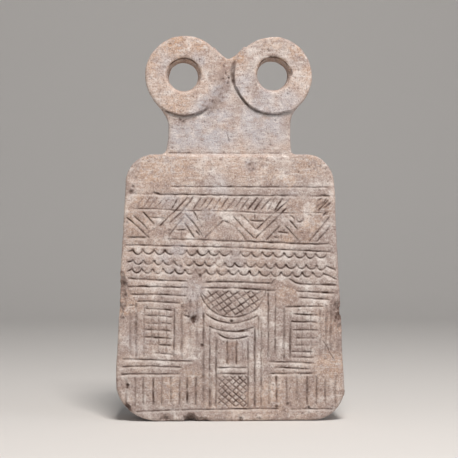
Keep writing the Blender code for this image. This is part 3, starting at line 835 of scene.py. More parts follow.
@dataclass(frozen=True)
class Doorway:
    """The doorway below the basin: its posts, its crossbars and the latticed panel at its foot.

    Attributes:
        posts: each upright as across, top, foot, tool and dirt.
        crossbars: each bar as left, right, up, how much it falls, and dirt.
        left, right, foot, head: the panel.
        slope: how much the panel's lines rise for each millimetre across.
        rising_starts, falling_starts: how high they are at the middle of the stone.
    """

    posts: tuple[tuple[float, float, float, Tool, float], ...] = (
        (-20.2, 82.0, 57.0, Tool.STRONG, 0.85), (-20.4, 57.0, 10.0, Tool.SOFT, 0.5),
        (-15.6, 71.0, 10.0, Tool.PLAIN, 0.75), (-10.8, 62.4, 10.0, Tool.STRONG, 0.85),
        (13.3, 61.4, 10.0, Tool.PLAIN, 0.7), (18.4, 70.0, 10.0, Tool.STRONG, 0.8),
        (21.2, 79.0, 63.0, Tool.PLAIN, 0.7), (23.2, 77.0, 10.0, Tool.PLAIN, 0.55),
        (28.6, 97.6, 47.0, Tool.PLAIN, 0.85), (33.8, 97.0, 62.0, Tool.FINE, 0.75),
        (33.8, 62.4, 50.0, Tool.STRONG, 1.0), (28.8, 34.0, 11.0, Tool.PLAIN, 0.45),
        (-2.3, 61.6, 42.0, Tool.PLAIN, 0.8), (4.5, 61.4, 42.0, Tool.PLAIN, 0.9),
        (9.2, 60.0, 43.4, Tool.SCRATCH, 0.4), (1.2, 60.0, 43.4, Tool.SCRATCH, 0.4),
        (-14.9, 34.0, 11.0, Tool.PLAIN, 0.6), (-25.4, 58.0, 47.0, Tool.SOFT, 0.4),
    )
    crossbars: tuple[tuple[float, float, float, float, float], ...] = (
        (-9.8, 13.2, 40.3, 0.2, 0.85), (-10.2, 12.6, 35.9, 0.3, 0.85),
    )
    left: float = -10.2
    right: float = 13.4
    foot: float = 10.6
    head: float = 35.0
    slope: float = 0.88
    rising_starts: tuple[float, ...] = tuple(2.5 + 4.7 * k for k in range(8))
    falling_starts: tuple[float, ...] = tuple(9.5 + 4.9 * k for k in range(8))

    def strokes(self) -> list[Stroke]:
        """The doorway's strokes.

        Returns:
            The posts, the crossbars and the panel's lines.
        """
        made = [Stroke(upright(x, top, foot, 0.2), tool, dirt_and_shade) for x, top, foot, tool, dirt_and_shade in self.posts]
        for left, right, up, fall, dirt_and_shade in self.crossbars:
            made.append(Stroke(level(left, right, up, up - fall), Tool.PLAIN, dirt_and_shade))

        def within(x: Array, z: Array) -> Array:
            """Which places lie in the panel."""
            return (x > self.left) & (x < self.right) & (z > self.foot) & (z < self.head)

        rising = lattice(self.slope, self.rising_starts, within)
        falling = lattice(-self.slope, self.falling_starts, within)
        for number, line in enumerate(rising + falling):
            made.append(Stroke(line, Tool.FINE, 0.8 + 0.2 * sway(number)))
        return made


@dataclass(frozen=True)
class UndercutShadows:
    """Grooves where the rings stand proud of the neck, and where the neck meets the slab, darkened with
    painted shadow.

    Attributes:
        outline: the shape whose rings they follow.
    """

    outline: Outline

    def strokes(self) -> list[Stroke]:
        """The lines, darkened with painted shadow: round the rings' lower edges, down the web, and along the
        shoulder.

        Returns:
            The strokes, the left ring's first.
        """
        left, right = self.outline.ring_centres
        angle = np.linspace(158.0, 286.0, 17)
        gap = 0.8 - 0.5 * smooth(angle, 190.0, 215.0)
        radius = self.outline.face_radius(angle) + gap
        # painted shadow: the soil in these grooves stands for the shade under the rings' lower edges and at
        # the step where the neck meets the slab
        return [
            Stroke(arc(left, self.outline.ring_radii[0] + 0.1, 240.0, 286.0), Tool.FINE, 1.0),
            Stroke(arc(left, self.outline.ring_radii[0] + 0.4, 283.0, 306.0), Tool.SOFT, 0.4),
            Stroke(arc(right, radius, angle[0], angle[-1]), Tool.FINE, 0.95),
            Stroke(arc(right, radius[:7].max() - 0.1, 159.0, 194.0), Tool.GULLY, 0.9),
            Stroke(arc(right, radius[-1], 196.0, 246.0), Tool.PLAIN, 0.8),
            Stroke(((38.2, 232.4), (42.5, 232.9), (46.6, 233.8)), Tool.FINE, 0.6),
            Stroke(level(-47.0, -26.0, 201.9, 201.7), Tool.FINE, 0.7),
            Stroke(level(-27.0, 40.0, 201.8, 201.6), Tool.SCRATCH, 0.35),
        ]


def all_strokes(outline: Outline) -> list[Stroke]:
    """Every stroke of the ornament, from the top down.

    Args:
        outline: the shape that it is cut into.

    Returns:
        The strokes of all bands.
    """
    bands = (
        UndercutShadows(outline), RULES, HatchedBand(), ZigzagBand(), *SCALLOPS, LEFT_COURSES, RIGHT_COURSES,
        LINTELS, Basin(), *WINDOWS, Doorway(), LEFT_SILLS, RIGHT_SILLS, PlankBand(), SCARS,
    )
    return [stroke for band in bands for stroke in band.strokes()]


@dataclass
class TrimmedGrid:
    """A square grid of across and up, cut to the outline, with its edge nodes moved onto it.

    Attributes:
        outline: the shape to cut to.
        pitch: the spacing of the nodes.
        inset: how far inside the outline the grid ends. The rest is left to the sides.
        half_width, below, height: how far the grid reaches to each side, down and up.
    """

    outline: Outline
    pitch: float
    inset: float = 0.9
    half_width: float = 90.0
    below: float = 2.0
    height: float = 294.0

    def __post_init__(self) -> None:
        """Lays out the nodes, keeps the cells inside, and moves their outer nodes to the edge."""
        self.across = np.arange(-self.half_width, self.half_width, self.pitch)
        self.up = np.arange(-self.below, self.height, self.pitch)
        x, z = np.meshgrid(self.across, self.up)
        inside = self.outline.distance(x, z) < -self.inset
        self.cells = inside[:-1, :-1] & inside[1:, :-1] & inside[:-1, 1:] & inside[1:, 1:]
        touching = np.zeros(x.shape, dtype=int)
        rows, columns = self.cells.shape
        for row, column in np.ndindex(2, 2):
            touching[row:row + rows, column:column + columns] += self.cells
        used = touching > 0
        edge = used & (touching < 4)
        edge_x, edge_z = x[edge], z[edge]
        for _ in range(4):
            gap = self.outline.distance(edge_x, edge_z) + self.inset
            out_x, out_z = self.outline.slope(edge_x, edge_z)
            edge_x, edge_z = edge_x - gap * out_x, edge_z - gap * out_z
        x[edge], z[edge] = edge_x, edge_z
        self.number = np.full(x.shape, -1)
        self.number[used] = np.arange(used.sum())
        self.x, self.z = x[used], z[used]
        self.edge = self.number[edge]

    def corners(self) -> tuple[Array, Array, Array, Array]:
        """The numbers of each cell's corners, going round it from the lower left."""
        number = self.number
        return number[:-1, :-1], number[:-1, 1:], number[1:, 1:], number[1:, :-1]

    def triangles(self) -> Array:
        """Two triangles for each kept cell, split along its shorter diagonal.

        Returns:
            Three node numbers for each triangle.
        """
        a, b, c, d = (corner[self.cells] for corner in self.corners())
        rising = np.hypot(self.x[a] - self.x[c], self.z[a] - self.z[c])
        falling = np.hypot(self.x[b] - self.x[d], self.z[b] - self.z[d])
        split = (rising < falling)[:, None]
        first = np.where(split, np.column_stack((a, b, c)), np.column_stack((a, b, d)))
        second = np.where(split, np.column_stack((a, c, d)), np.column_stack((b, c, d)))
        return np.vstack((first, second))

    def edges(self) -> tuple[Array, Array]:
        """The start and end of each edge on the outline, with the stone on its left.

        Returns:
            The node numbers of the starts and of the ends.
        """
        around = np.pad(self.cells, 1)
        beside = (around[:-2, 1:-1], around[1:-1, 2:], around[2:, 1:-1], around[1:-1, :-2])
        corners = self.corners()
        starts, ends = [], []
        for side, neighbour in enumerate(beside):
            open_side = self.cells & ~neighbour
            starts.append(corners[side][open_side])
            ends.append(corners[(side + 1) % 4][open_side])
        return np.concatenate(starts), np.concatenate(ends)

    def sample(self, values: Array, x: Array, z: Array) -> Array:
        """Reads a field of the grid at any place, blending the four nodes around it.

        Args:
            values: the field, one value for each node of the whole grid.
            x: how far across.
            z: how far up.

        Returns:
            The field at each place.
        """
        column = np.clip((x - self.across[0]) / self.pitch, 0.0, len(self.across) - 1.001)
        row = np.clip((z - self.up[0]) / self.pitch, 0.0, len(self.up) - 1.001)
        left, low = column.astype(int), row.astype(int)
        aside, above = column - left, row - low
        foot = values[low, left] * (1.0 - aside) + values[low, left + 1] * aside
        head = values[low + 1, left] * (1.0 - aside) + values[low + 1, left + 1] * aside
        return foot * (1.0 - above) + head * above


@dataclass
class Face:
    """What was cut, worn and dirtied on the front, as fields over the grid.

    The fields are depth in millimetres, and soil and lip, from 0 to about 1, which tell how much dirt and
    painted shade lies at a place and how much painted highlight lies on a groove's lit lip.

    Attributes:
        grid: the grid that carries the fields.
        worn: where the ornament has faded.
        pits: the single pits that show, each with its depth as its strength in millimetres.
        pit_count, pit_radii: how many small pits are scattered over the front, and their radii.
        pit_across, pit_up: between which places they lie.
        hand: how far a line wanders from its true course.
        taper: over what length a stroke runs out at its ends.
        shade_lift: how far up in a groove its soil and painted shade lie, as a share of its width, so that
            they darken the upper wall where shade falls.
        highlight_place: where the middle of the painted highlight on a groove's lip lies, as shares of its
            width, aside and down.
        seed: what the scattering starts from.
    """

    grid: TrimmedGrid
    worn: tuple[Patch, ...] = (
        Patch(-54.0, 138.5, 8.0, 0.85), Patch(-17.0, 151.0, 9.5, 0.8), Patch(2.0, 145.5, 6.5, 0.7),
        Patch(57.5, 142.5, 6.5, 0.6), Patch(55.0, 163.5, 12.0, 0.7), Patch(-40.5, 128.4, 4.5, 0.9),
        Patch(3.0, 127.0, 7.0, 0.6), Patch(-36.0, 119.0, 4.5, 0.8), Patch(-9.5, 118.0, 5.0, 0.6),
        Patch(-25.0, 111.0, 5.0, 0.6), Patch(-26.5, 100.0, 7.0, 0.9), Patch(41.5, 96.0, 8.0, 0.85),
        Patch(-62.0, 56.0, 7.0, 0.6), Patch(-33.0, 33.5, 7.0, 0.6), Patch(72.0, 40.0, 12.0, 0.7),
        Patch(60.0, 60.5, 8.0, 0.45), Patch(-24.0, 57.0, 7.0, 0.5), Patch(-66.0, 182.0, 12.0, 0.9),
        Patch(48.0, 12.0, 8.0, 0.5), Patch(-74.0, 164.0, 6.0, 0.6), Patch(-12.0, 27.0, 5.0, 0.4),
    )
    pits: tuple[Patch, ...] = (
        Patch(-77.0, 27.4, 1.6, 1.6), Patch(-77.0, 25.8, 1.2, 1.4), Patch(1.1, 75.4, 1.5, 1.3),
        Patch(-27.9, 77.2, 2.7, 2.0), Patch(-27.6, 75.0, 1.6, 1.4), Patch(-21.0, 57.4, 1.7, 1.2),
        Patch(-20.3, 34.3, 1.4, 1.0), Patch(-80.4, 78.0, 1.4, 0.8), Patch(80.0, 78.0, 1.6, 1.3),
        Patch(82.8, 80.2, 1.8, 1.5), Patch(8.0, 2.0, 1.5, 1.0), Patch(22.0, 2.2, 1.3, 0.8),
        Patch(-35.0, 225.5, 1.5, 0.6), Patch(-37.5, 226.8, 1.3, 0.6), Patch(-38.6, 224.6, 1.0, 0.4),
        Patch(35.1, 10.8, 1.4, 1.1), Patch(59.2, 10.0, 1.4, 1.1), Patch(43.0, 12.8, 1.3, 0.9),
        Patch(-74.6, 172.6, 2.0, 1.0), Patch(-73.0, 176.6, 1.2, 0.8), Patch(-37.0, 116.6, 1.2, 0.9),
        Patch(-22.6, 109.6, 1.6, 1.1), Patch(14.6, 193.2, 1.4, 0.6), Patch(17.0, 189.6, 1.2, 0.6),
        Patch(-48.0, 2.8, 1.8, 0.7), Patch(30.6, 274.4, 1.2, 0.6), Patch(-45.0, 283.6, 1.0, 0.5),
        Patch(81.6, 84.6, 1.1, 1.2), Patch(83.6, 82.6, 1.3, 1.4), Patch(79.8, 81.4, 0.9, 1.0),
        Patch(82.2, 76.6, 1.2, 1.3), Patch(79.2, 75.4, 0.9, 0.8), Patch(-79.4, 86.8, 1.2, 0.9),
        Patch(-78.6, 95.6, 1.0, 0.8), Patch(-79.8, 104.6, 1.2, 1.0), Patch(-26.0, 78.6, 1.1, 1.2),
        Patch(-31.4, 78.9, 1.1, 1.1), Patch(-3.2, 262.0, 1.0, 0.9), Patch(-1.0, 258.6, 0.9, 1.0),
        Patch(-4.6, 267.0, 1.0, 0.8), Patch(-2.0, 254.6, 0.9, 0.8), Patch(-5.4, 258.0, 0.9, 0.8),
    )
    pit_count: int = 620
    pit_radii: Place = (0.5, 1.2)
    pit_across: Place = (-86.0, 86.0)
    pit_up: Place = (2.0, 290.0)
    hand: float = 0.26
    taper: float = 2.0
    shade_lift: float = 0.14
    highlight_place: Place = (0.25, 0.8)
    seed: int = 7

    def __post_init__(self) -> None:
        """Works out what the strokes share: bent coordinates, wear and how patchy the soil is."""
        x, z = np.meshgrid(self.grid.across, self.grid.up)
        self.depth, self.soil_and_shade, self.lip_highlight = np.zeros((3, *x.shape))
        self.bent_x = x + self.hand * LatticeNoise(5.0, 21).on_face(x, z)
        self.bent_z = z + self.hand * LatticeNoise(5.0, 22).on_face(x, z)
        patchy = 0.5 + 0.7 * LatticeNoise(4.0, 23).on_face(x, z)
        broken = 0.5 + 0.9 * LatticeNoise(1.7, 24).on_face(x, z)
        self.kept = (1.0 - strongest(self.worn, x, z)) * (0.78 + 0.34 * patchy)
        self.soiled = self.kept * np.clip(0.42 + 0.5 * broken + 0.4 * patchy, 0.15, 1.35)

    def window(self, low: Array, high: Array) -> tuple[slice, slice]:
        """The rows and columns of the grid between two corners, each given as across and up."""
        columns = slice(*np.searchsorted(self.grid.across, (low[0], high[0])))
        return slice(*np.searchsorted(self.grid.up, (low[1], high[1]))), columns

    def cut(self, stroke: Stroke) -> None:
        """Cuts a groove: a V with a worn floor and lips, tapering over its last millimetres.

        The distance from the line is measured in bent coordinates, so that it wanders as a hand-cut line
        does. Soil and painted shade lie a little above the groove's middle, on the upper wall where shade
        falls, and a painted highlight lies on the lip below and beside the groove.

        Args:
            stroke: the line to cut.
        """
        width, deep = stroke.tool.value
        points = np.array(stroke.points, dtype=float)
        steps = np.diff(points, axis=0)
        lengths = np.hypot(steps[:, 0], steps[:, 1])
        total = lengths.sum()
        taper = min(self.taper, total / 3.0)
        run = 0.0
        reach = width * 1.2 + 1.0
        highlight_aside, highlight_down = (share * width for share in self.highlight_place)
        for start, step, length in zip(points[:-1], steps, lengths):
            low = np.minimum(start, start + step) - reach
            high = np.maximum(start, start + step) + reach
            near = self.window(low, high)
            x = self.bent_x[near] - start[0]
            z = self.bent_z[near] - start[1]
            share = np.clip((x * step[0] + z * step[1]) / (length * length), 0.0, 1.0)
            aside, above = x - share * step[0], z - share * step[1]
            done = run + share * length
            ends = np.clip(np.minimum(done, total - done) / taper, 0.0, 1.0) ** 0.6
            section = np.clip(1.12 - 2.0 * np.hypot(aside, above) / width, 0.0, 1.0)
            # painted shade: the groove's soil is raised onto its upper wall, where shade falls, so that it
            # darkens with dirt and shade together
            lifted = np.hypot(aside, above - self.shade_lift * width)
            grime_and_shade = np.clip(1.2 - 2.0 * lifted / width, 0.0, 1.0) * stroke.dirt_and_shade
            # painted highlight: a pale band on the groove's lower lip, where light from above falls
            lit = np.hypot(aside + highlight_aside, above + highlight_down)
            bright = np.clip(1.2 - 2.0 * lit / width, 0.0, 1.0)
            cut = deep * section * ends * self.kept[near]
            dirt_and_shade = grime_and_shade * ends * self.soiled[near]
            shine = bright * ends * self.kept[near]
            for values, more in ((self.depth, cut), (self.soil_and_shade, dirt_and_shade), (self.lip_highlight, shine)):
                values[near] = np.maximum(values[near], more)
            run += length

    def pit(self, x: float, z: float, radius: float, deep: float, dirt_and_shade: float) -> None:
        """Sinks one pit: a bowl that falls as 1 - r², in bent coordinates.

        Args:
            x: how far across its middle is.
            z: how far up.
            radius: its radius.
            deep: its depth.
            dirt_and_shade: how dark it is, from 0 to 1.
        """
        middle, reach = np.array((x, z)), radius + 1.0
        near = self.window(middle - reach, middle + reach)
        away = np.hypot(self.bent_x[near] - x, self.bent_z[near] - z) / radius
        bowl = np.clip(1.0 - away * away, 0.0, 1.0)
        for values, more in ((self.depth, deep * bowl), (self.soil_and_shade, dirt_and_shade * bowl ** 0.6)):
            values[near] = np.maximum(values[near], more)

    def weather(self) -> None:
        """Scatters small pits over the whole front, and sinks the single ones that show."""
        random = np.random.default_rng(self.seed)
        for _ in range(self.pit_count):
            x, z = random.uniform(*self.pit_across), random.uniform(*self.pit_up)
            radius = random.uniform(*self.pit_radii)
            self.pit(x, z, radius, 0.4 * radius, random.uniform(0.05, 0.55))
        for spot in self.pits:
            self.pit(spot.across, spot.up, spot.radius, spot.strength, min(1.0, 0.75 * spot.strength))


@dataclass(frozen=True)
class Chip:
    """A broken place: a rough lump that is pressed into the stone and takes away what it meets.

    Attributes:
        centre: the lump's middle, as across, depth and up.
        reach: its half sizes along those three ways.
        way: the way it is pressed.
        seed: what its roughness starts from.
        dirt_and_shade: how much soil fills it, from 0 to 1.
    """

    centre: tuple[float, float, float]
    reach: tuple[float, float, float]
    way: tuple[float, float, float]
    seed: int
    dirt_and_shade: float

    def scaled(self, points: Array) -> Array:
        """Places in units of the lump's rough half sizes: its surface is at length 1.

        Args:
            points: places in millimetres.

        Returns:
            The places, from the lump's middle.
        """
        rough = 1.0 + 0.16 * LatticeNoise(4.5, self.seed).at(points)
        rough = rough + 0.1 * LatticeNoise(1.8, self.seed).at(points)
        return (points - self.centre) / (np.array(self.reach) * rough[:, None])

    def press(self, points: Array) -> Array:
        """Moves the points inside the lump along its way to its far side.

        The far side is where the length of (place + s * way) is 1, the larger root of a quadratic.

        Args:
            points: the mesh's points.

        Returns:
            The points, moved.
        """
        place = self.scaled(points)
        way = np.array(self.way) / np.linalg.norm(self.way)
        slope = way / self.reach
        inside = np.einsum("ij,ij->i", place, place) < 1.0
        square = slope @ slope
        half = place[inside] @ slope
        left = np.einsum("ij,ij->i", place[inside], place[inside]) - 1.0
        far = (-half + np.sqrt(half * half - square * left)) / square
        moved = points.copy()
        moved[inside] += far[:, None] * way
        return moved

    def cover(self, points: Array) -> Array:
        """How much a place belongs to the broken surface, from 0 to 1."""
        length = np.linalg.norm(self.scaled(points), axis=1)
        return 1.0 - smooth(length, 1.02, 1.16)


@dataclass(frozen=True)
class Staining:
    """Where the stone has taken on colour: ochre and lilac stains, and dark grime, with some lilac and grime
    painted as shade on the left ring's slope towards the web.

    Attributes:
        ochre_and_bounce_light, lilac_and_shade, grime_and_shade: the areas of each.
    """

    ochre_and_bounce_light: tuple[Patch, ...] = (
        Patch(-42.0, 286.0, 11.0, 1.0), Patch(-24.0, 284.0, 7.0, 0.8), Patch(-58.0, 270.0, 9.0, 0.6),
        Patch(32.0, 286.0, 11.0, 0.6), Patch(6.0, 274.0, 6.0, 1.0), Patch(50.0, 279.0, 9.0, 0.8),
        Patch(-4.0, 269.0, 6.0, 0.7), Patch(60.0, 262.0, 7.0, 0.5), Patch(-40.0, 238.0, 10.0, 0.45),
        Patch(-58.0, 190.0, 15.0, 0.7), Patch(-30.0, 184.0, 14.0, 0.45), Patch(30.0, 186.0, 12.0, 0.5),
        Patch(58.0, 194.0, 14.0, 0.6), Patch(-1.0, 224.0, 7.0, 0.4), Patch(56.0, 140.0, 8.0, 1.0),
        Patch(44.0, 137.0, 6.0, 0.8), Patch(62.0, 148.0, 8.0, 0.8), Patch(48.0, 161.0, 10.0, 0.6),
        Patch(-68.0, 152.0, 12.0, 0.5), Patch(44.0, 180.0, 8.0, 0.7), Patch(-66.0, 164.0, 9.0, 0.6),
        Patch(20.0, 128.0, 16.0, 0.4), Patch(-58.0, 66.0, 16.0, 0.45), Patch(60.0, 30.0, 22.0, 0.45),
        Patch(-46.0, 24.0, 14.0, 0.7), Patch(-26.0, 30.0, 12.0, 0.6), Patch(30.0, 20.0, 12.0, 0.6),
        Patch(6.0, 16.0, 12.0, 0.6), Patch(-40.0, 194.0, 14.0, 0.6), Patch(10.0, 184.0, 14.0, 0.4),
        Patch(-80.0, 90.0, 12.0, 0.9), Patch(82.0, 74.0, 10.0, 0.9), Patch(76.0, 42.0, 13.0, 0.75),
        Patch(30.0, 16.0, 14.0, 0.5), Patch(-10.0, 20.0, 18.0, 0.4), Patch(-52.0, 22.0, 12.0, 0.5),
        Patch(-30.0, 36.0, 9.0, 0.6), Patch(1.5, 56.0, 6.0, 1.0), Patch(-10.0, 112.0, 9.0, 0.5),
        Patch(1.5, 47.0, 6.0, 1.0), Patch(-79.0, 84.0, 6.0, 1.0), Patch(82.0, 70.5, 5.0, 1.0),
        Patch(-12.0, 163.0, 9.0, 0.6), Patch(68.0, 160.0, 9.0, 0.9), Patch(44.0, 96.0, 9.0, 0.7),
        Patch(-70.0, 142.0, 9.0, 0.6), Patch(-44.0, 178.0, 9.0, 0.4), Patch(-20.0, 116.0, 8.0, 0.5),
    )
    lilac_and_shade: tuple[Patch, ...] = (
        Patch(-12.0, 222.0, 24.0, 0.9), Patch(24.0, 224.0, 22.0, 0.85), Patch(-34.0, 214.0, 15.0, 0.8),
        # painted shade: the lilac patches at (-18, 238), (-8, 246) and (-2, 252) darken the left ring's
        # lower-right slope towards the web
        Patch(-18.0, 238.0, 9.0, 1.0), Patch(-8.0, 246.0, 9.0, 1.0), Patch(-2.0, 252.0, 6.0, 0.9),
        Patch(-23.0, 273.0, 7.0, 0.7), Patch(-50.0, 268.0, 9.0, 0.5), Patch(12.0, 252.0, 11.0, 0.7),
        Patch(24.0, 242.0, 12.0, 0.8), Patch(44.0, 240.0, 12.0, 0.7), Patch(50.0, 272.0, 7.0, 0.5),
        Patch(-34.0, 152.0, 9.0, 0.8), Patch(-16.0, 157.0, 7.0, 0.7), Patch(-40.0, 129.0, 8.0, 0.7),
        Patch(-48.0, 124.0, 8.0, 0.6), Patch(-42.0, 114.0, 8.0, 0.6), Patch(-28.0, 98.0, 11.0, 0.55),
        Patch(15.0, 192.0, 6.0, 0.8), Patch(44.0, 172.0, 8.0, 0.5), Patch(-45.0, 166.0, 9.0, 0.6),
        Patch(-26.0, 82.0, 8.0, 0.6), Patch(-10.0, 176.0, 12.0, 0.5), Patch(-70.0, 118.0, 9.0, 0.4),
        Patch(-70.0, 60.0, 12.0, 0.4), Patch(10.0, 62.0, 14.0, 0.35), Patch(4.0, 122.0, 9.0, 0.4),
    )
    grime_and_shade: tuple[Patch, ...] = (
        Patch(-1.6, 266.0, 6.5, 1.0), Patch(0.4, 256.0, 5.0, 0.8), Patch(-6.0, 270.0, 5.0, 0.6),
        Patch(-75.0, 173.5, 4.5, 0.9), Patch(-34.0, 273.6, 4.0, 0.6), Patch(33.0, 275.0, 5.0, 0.7),
        Patch(-28.2, 77.2, 6.0, 0.8), Patch(-77.5, 10.0, 5.0, 0.8), Patch(-21.0, 58.5, 4.5, 0.6),
        Patch(82.0, 80.0, 9.0, 1.0), Patch(-80.0, 100.0, 9.0, 0.6), Patch(-36.5, 226.0, 5.0, 0.7),
        Patch(-12.0, 240.0, 8.0, 0.5), Patch(44.0, 225.0, 7.0, 0.5), Patch(41.0, 172.0, 5.0, 0.5),
        Patch(69.0, 161.0, 6.5, 0.6), Patch(-84.0, 25.0, 9.0, 0.5), Patch(-48.0, 2.6, 6.0, 0.8),
        Patch(-28.0, 4.0, 8.0, 0.4), Patch(-17.0, 153.5, 8.0, 0.6), Patch(-50.0, 142.0, 8.0, 0.5),
        Patch(-24.0, 112.0, 6.0, 0.8), Patch(-29.0, 84.0, 9.0, 0.5), Patch(48.0, 106.0, 7.0, 0.5),
        Patch(50.5, 138.0, 6.0, 0.6), Patch(15.0, 191.0, 4.0, 0.7), Patch(20.0, 246.0, 5.0, 0.6),
        Patch(33.0, 55.0, 5.0, 0.5), Patch(44.0, 10.0, 6.0, 0.6), Patch(2.0, 90.0, 16.0, 0.35),
        # painted shade: the patches from (-17, 236.5) to (-4, 260) darken the left ring's lower-right slope
        # towards the web
        Patch(-17.0, 236.5, 5.5, 0.8), Patch(-12.0, 241.5, 5.5, 0.8), Patch(-7.5, 247.0, 5.0, 0.8),
        Patch(-3.5, 251.0, 4.5, 0.9), Patch(-4.0, 260.0, 7.0, 1.0), Patch(1.0, 57.0, 5.5, 0.7),
        Patch(1.0, 48.0, 5.5, 0.8), Patch(-56.0, 70.0, 14.0, 0.3), Patch(57.0, 66.0, 14.0, 0.3),
        Patch(2.0, 22.0, 14.0, 0.4), Patch(-66.0, 140.0, 10.0, 0.4), Patch(1.0, 52.0, 5.0, 0.7),
        Patch(-70.0, 76.0, 6.0, 0.5), Patch(34.0, 152.0, 12.0, 0.3), Patch(34.0, 118.0, 20.0, 0.25),
        Patch(56.0, 140.0, 5.0, 0.5), Patch(62.0, 20.0, 20.0, 0.4), Patch(83.0, 92.0, 8.0, 0.5),
        Patch(83.0, 60.0, 12.0, 0.4), Patch(-26.0, 24.0, 14.0, 0.3),
    )


@dataclass
class IdolStone:
    """The carved stone as one closed mesh.

    Attributes:
        outline: its shape from the front.
        pitch: the grid's spacing.
        triangles: how many triangles the finished mesh may have.
        face_depth: where the slab's front is.
        recess: how far the neck lies behind the slab's front.
        foot_back, shoulder_back, plate_back: where the back is at the foot, shoulder and neck.
        front_round, slab_back_round, plate_back_round: the edges' radii.
        eye_bulge: how much narrower an eye is at its middle than at its mouths.
        front_steps, back_steps, wall_steps: how finely the sides' profile is divided.
        staining: its coloured places.
        chips: the broken places.
    """

    outline: Outline
    pitch: float
    triangles: int
    face_depth: float = -24.6
    recess: float = 2.5
    foot_back: float = 24.8
    shoulder_back: float = 9.0
    plate_back: float = 3.2
    front_round: float = 2.0
    slab_back_round: float = 7.5
    plate_back_round: float = 3.0
    eye_bulge: float = 1.7
    front_steps: int = 4
    back_steps: int = 5
    wall_steps: int = 20
    staining: Staining = field(default_factory=Staining)
    chips: tuple[Chip, ...] = (
        Chip((-27.0, -26.0, -6.6), (16.5, 9.0, 9.8), (0.0, 0.95, 0.3), 3, 0.15),
        Chip((-29.3, -25.5, 0.3), (6.0, 8.0, 6.6), (0.0, 1.0, 0.1), 5, 0.35),
        Chip((-49.0, -26.4, 1.0), (5.4, 3.0, 3.4), (0.0, 0.8, 0.5), 44, 0.35),
        Chip((-84.8, -28.0, 97.5), (9.6, 7.0, 15.5), (0.35, 0.93, 0.0), 9, 0.15),
        Chip((-84.4, -26.1, 83.5), (4.6, 5.0, 7.5), (0.5, 0.8, 0.0), 10, 0.35),
        Chip((-83.4, -25.2, 102.5), (4.6, 4.4, 4.8), (0.5, 0.8, 0.0), 13, 0.75),
        Chip((-82.6, -26.0, 109.5), (4.0, 3.4, 4.2), (0.5, 0.8, 0.0), 14, 0.1),
        Chip((84.6, -27.4, 82.5), (8.4, 6.6, 9.5), (-0.35, 0.93, 0.0), 17, 0.4),
        Chip((87.6, -21.0, 82.4), (4.9, 12.0, 7.4), (-1.0, 0.15, 0.0), 20, 0.6),
        Chip((83.0, -24.6, 80.0), (2.6, 4.4, 4.0), (-0.5, 0.85, 0.0), 19, 0.85),
        Chip((84.6, -26.1, 71.0), (4.2, 4.6, 4.5), (-0.5, 0.85, 0.0), 18, 0.25),
        Chip((88.6, -23.0, 20.5), (3.2, 11.0, 4.2), (-1.0, 0.2, 0.1), 23, 0.35),
        Chip((-77.0, -26.0, 10.0), (2.6, 4.4, 3.6), (0.4, 0.8, 0.3), 31, 0.85),
        Chip((44.6, -24.6, 262.6), (2.1, 5.0, 3.6), (1.0, 0.6, 0.0), 41, 0.45),
        Chip((8.0, -26.0, 0.6), (2.2, 3.4, 1.8), (0.0, 0.7, 0.7), 43, 0.8),
        Chip((-20.0, 27.3, 150.0), (16.0, 12.0, 9.0), (0.0, -1.0, 0.0), 51, 0.2),
        Chip((87.5, 14.0, 120.0), (5.5, 9.0, 14.0), (-0.9, -0.3, 0.0), 53, 0.2),
        Chip((-86.0, 12.0, 150.0), (4.6, 8.0, 11.0), (0.9, -0.3, 0.0), 55, 0.2),
        Chip((50.0, 27.3, 4.0), (14.0, 7.0, 8.0), (0.0, -0.9, 0.4), 57, 0.3),
    )

    def cover(self, x: Array, z: Array) -> Array:
        """How far each place stands proud of the neck, from 0 to 1.

        The slab and the rings stand proud. Each falls to the neck as 3t² - 2t³ across its own edge:
        the slab over a rounded arris, the rings sharply, and the left ring in a long slope towards
        the web. Near the outline a part keeps its height, because its edge is rounded there anyway.

        Args:
            x: how far across.
            z: how far up.

        Returns:
            The share at each place.
        """
        inside = -self.outline.distance(x, z)
        free = 3.0 * (1.0 - smooth(inside, 1.0, 4.0))
        gentle = smooth(x, -25.0, -15.0) * (1.0 - 0.5 * smooth(z, 262.0, 270.0))
        parts = (
            (z - self.outline.slab_height, 2.6, 0.3),
            (self.outline.ring(0, x, z), 0.8 + 2.8 * gentle, 0.1 + 5.2 * gentle),
            (self.outline.ring_face(x, z), 0.8, 0.1),
        )
        total = np.zeros(len(x))
        for distance, before, after in parts:
            kept = distance - free * smooth(-distance, 0.2, 0.8)
            total = np.maximum(total, 1.0 - smooth(kept, -before, after))
        return total

    def front(self, grid: TrimmedGrid, face: Face) -> Array:
        """The front's depth: its level, what was cut from it, and a quarter circle at the outline.

        Args:
            grid: the trimmed grid.
            face: what was cut into the front.

        Returns:
            The depth at each of the grid's nodes.
        """
        x, z = grid.x, grid.z
        proud = self.face_depth + self.recess * (1.0 - self.cover(x, z))
        fallen = edge_drop(self.outline.distance(x, z), self.front_round)
        return proud + fallen + grid.sample(face.depth, x, z)

    def back(self, grid: TrimmedGrid) -> Array:
        """The back's depth: the slab leans in towards the shoulders, and the neck lies flat behind.

        Args:
            grid: the trimmed grid.

        Returns:
            The depth at each of its nodes.
        """
        x, z, top = grid.x, grid.z, self.outline.slab_height
        slab = self.foot_back + (self.shoulder_back - self.foot_back) * z / top
        ledge = edge_drop(np.minimum(z - top, 0.0), self.slab_back_round)
        flat = np.where(z < top, np.maximum(slab - ledge, self.plate_back), self.plate_back)
        return flat - edge_drop(self.outline.distance(x, z), self.back_radius(z))

    def back_radius(self, z: Array) -> Array:
        """The back edge's radius, larger on the slab than on the neck and rings."""
        above = smooth(z, self.outline.slab_height - 8.0, self.outline.slab_height + 2.0)
        return self.slab_back_round + (self.plate_back_round - self.slab_back_round) * above

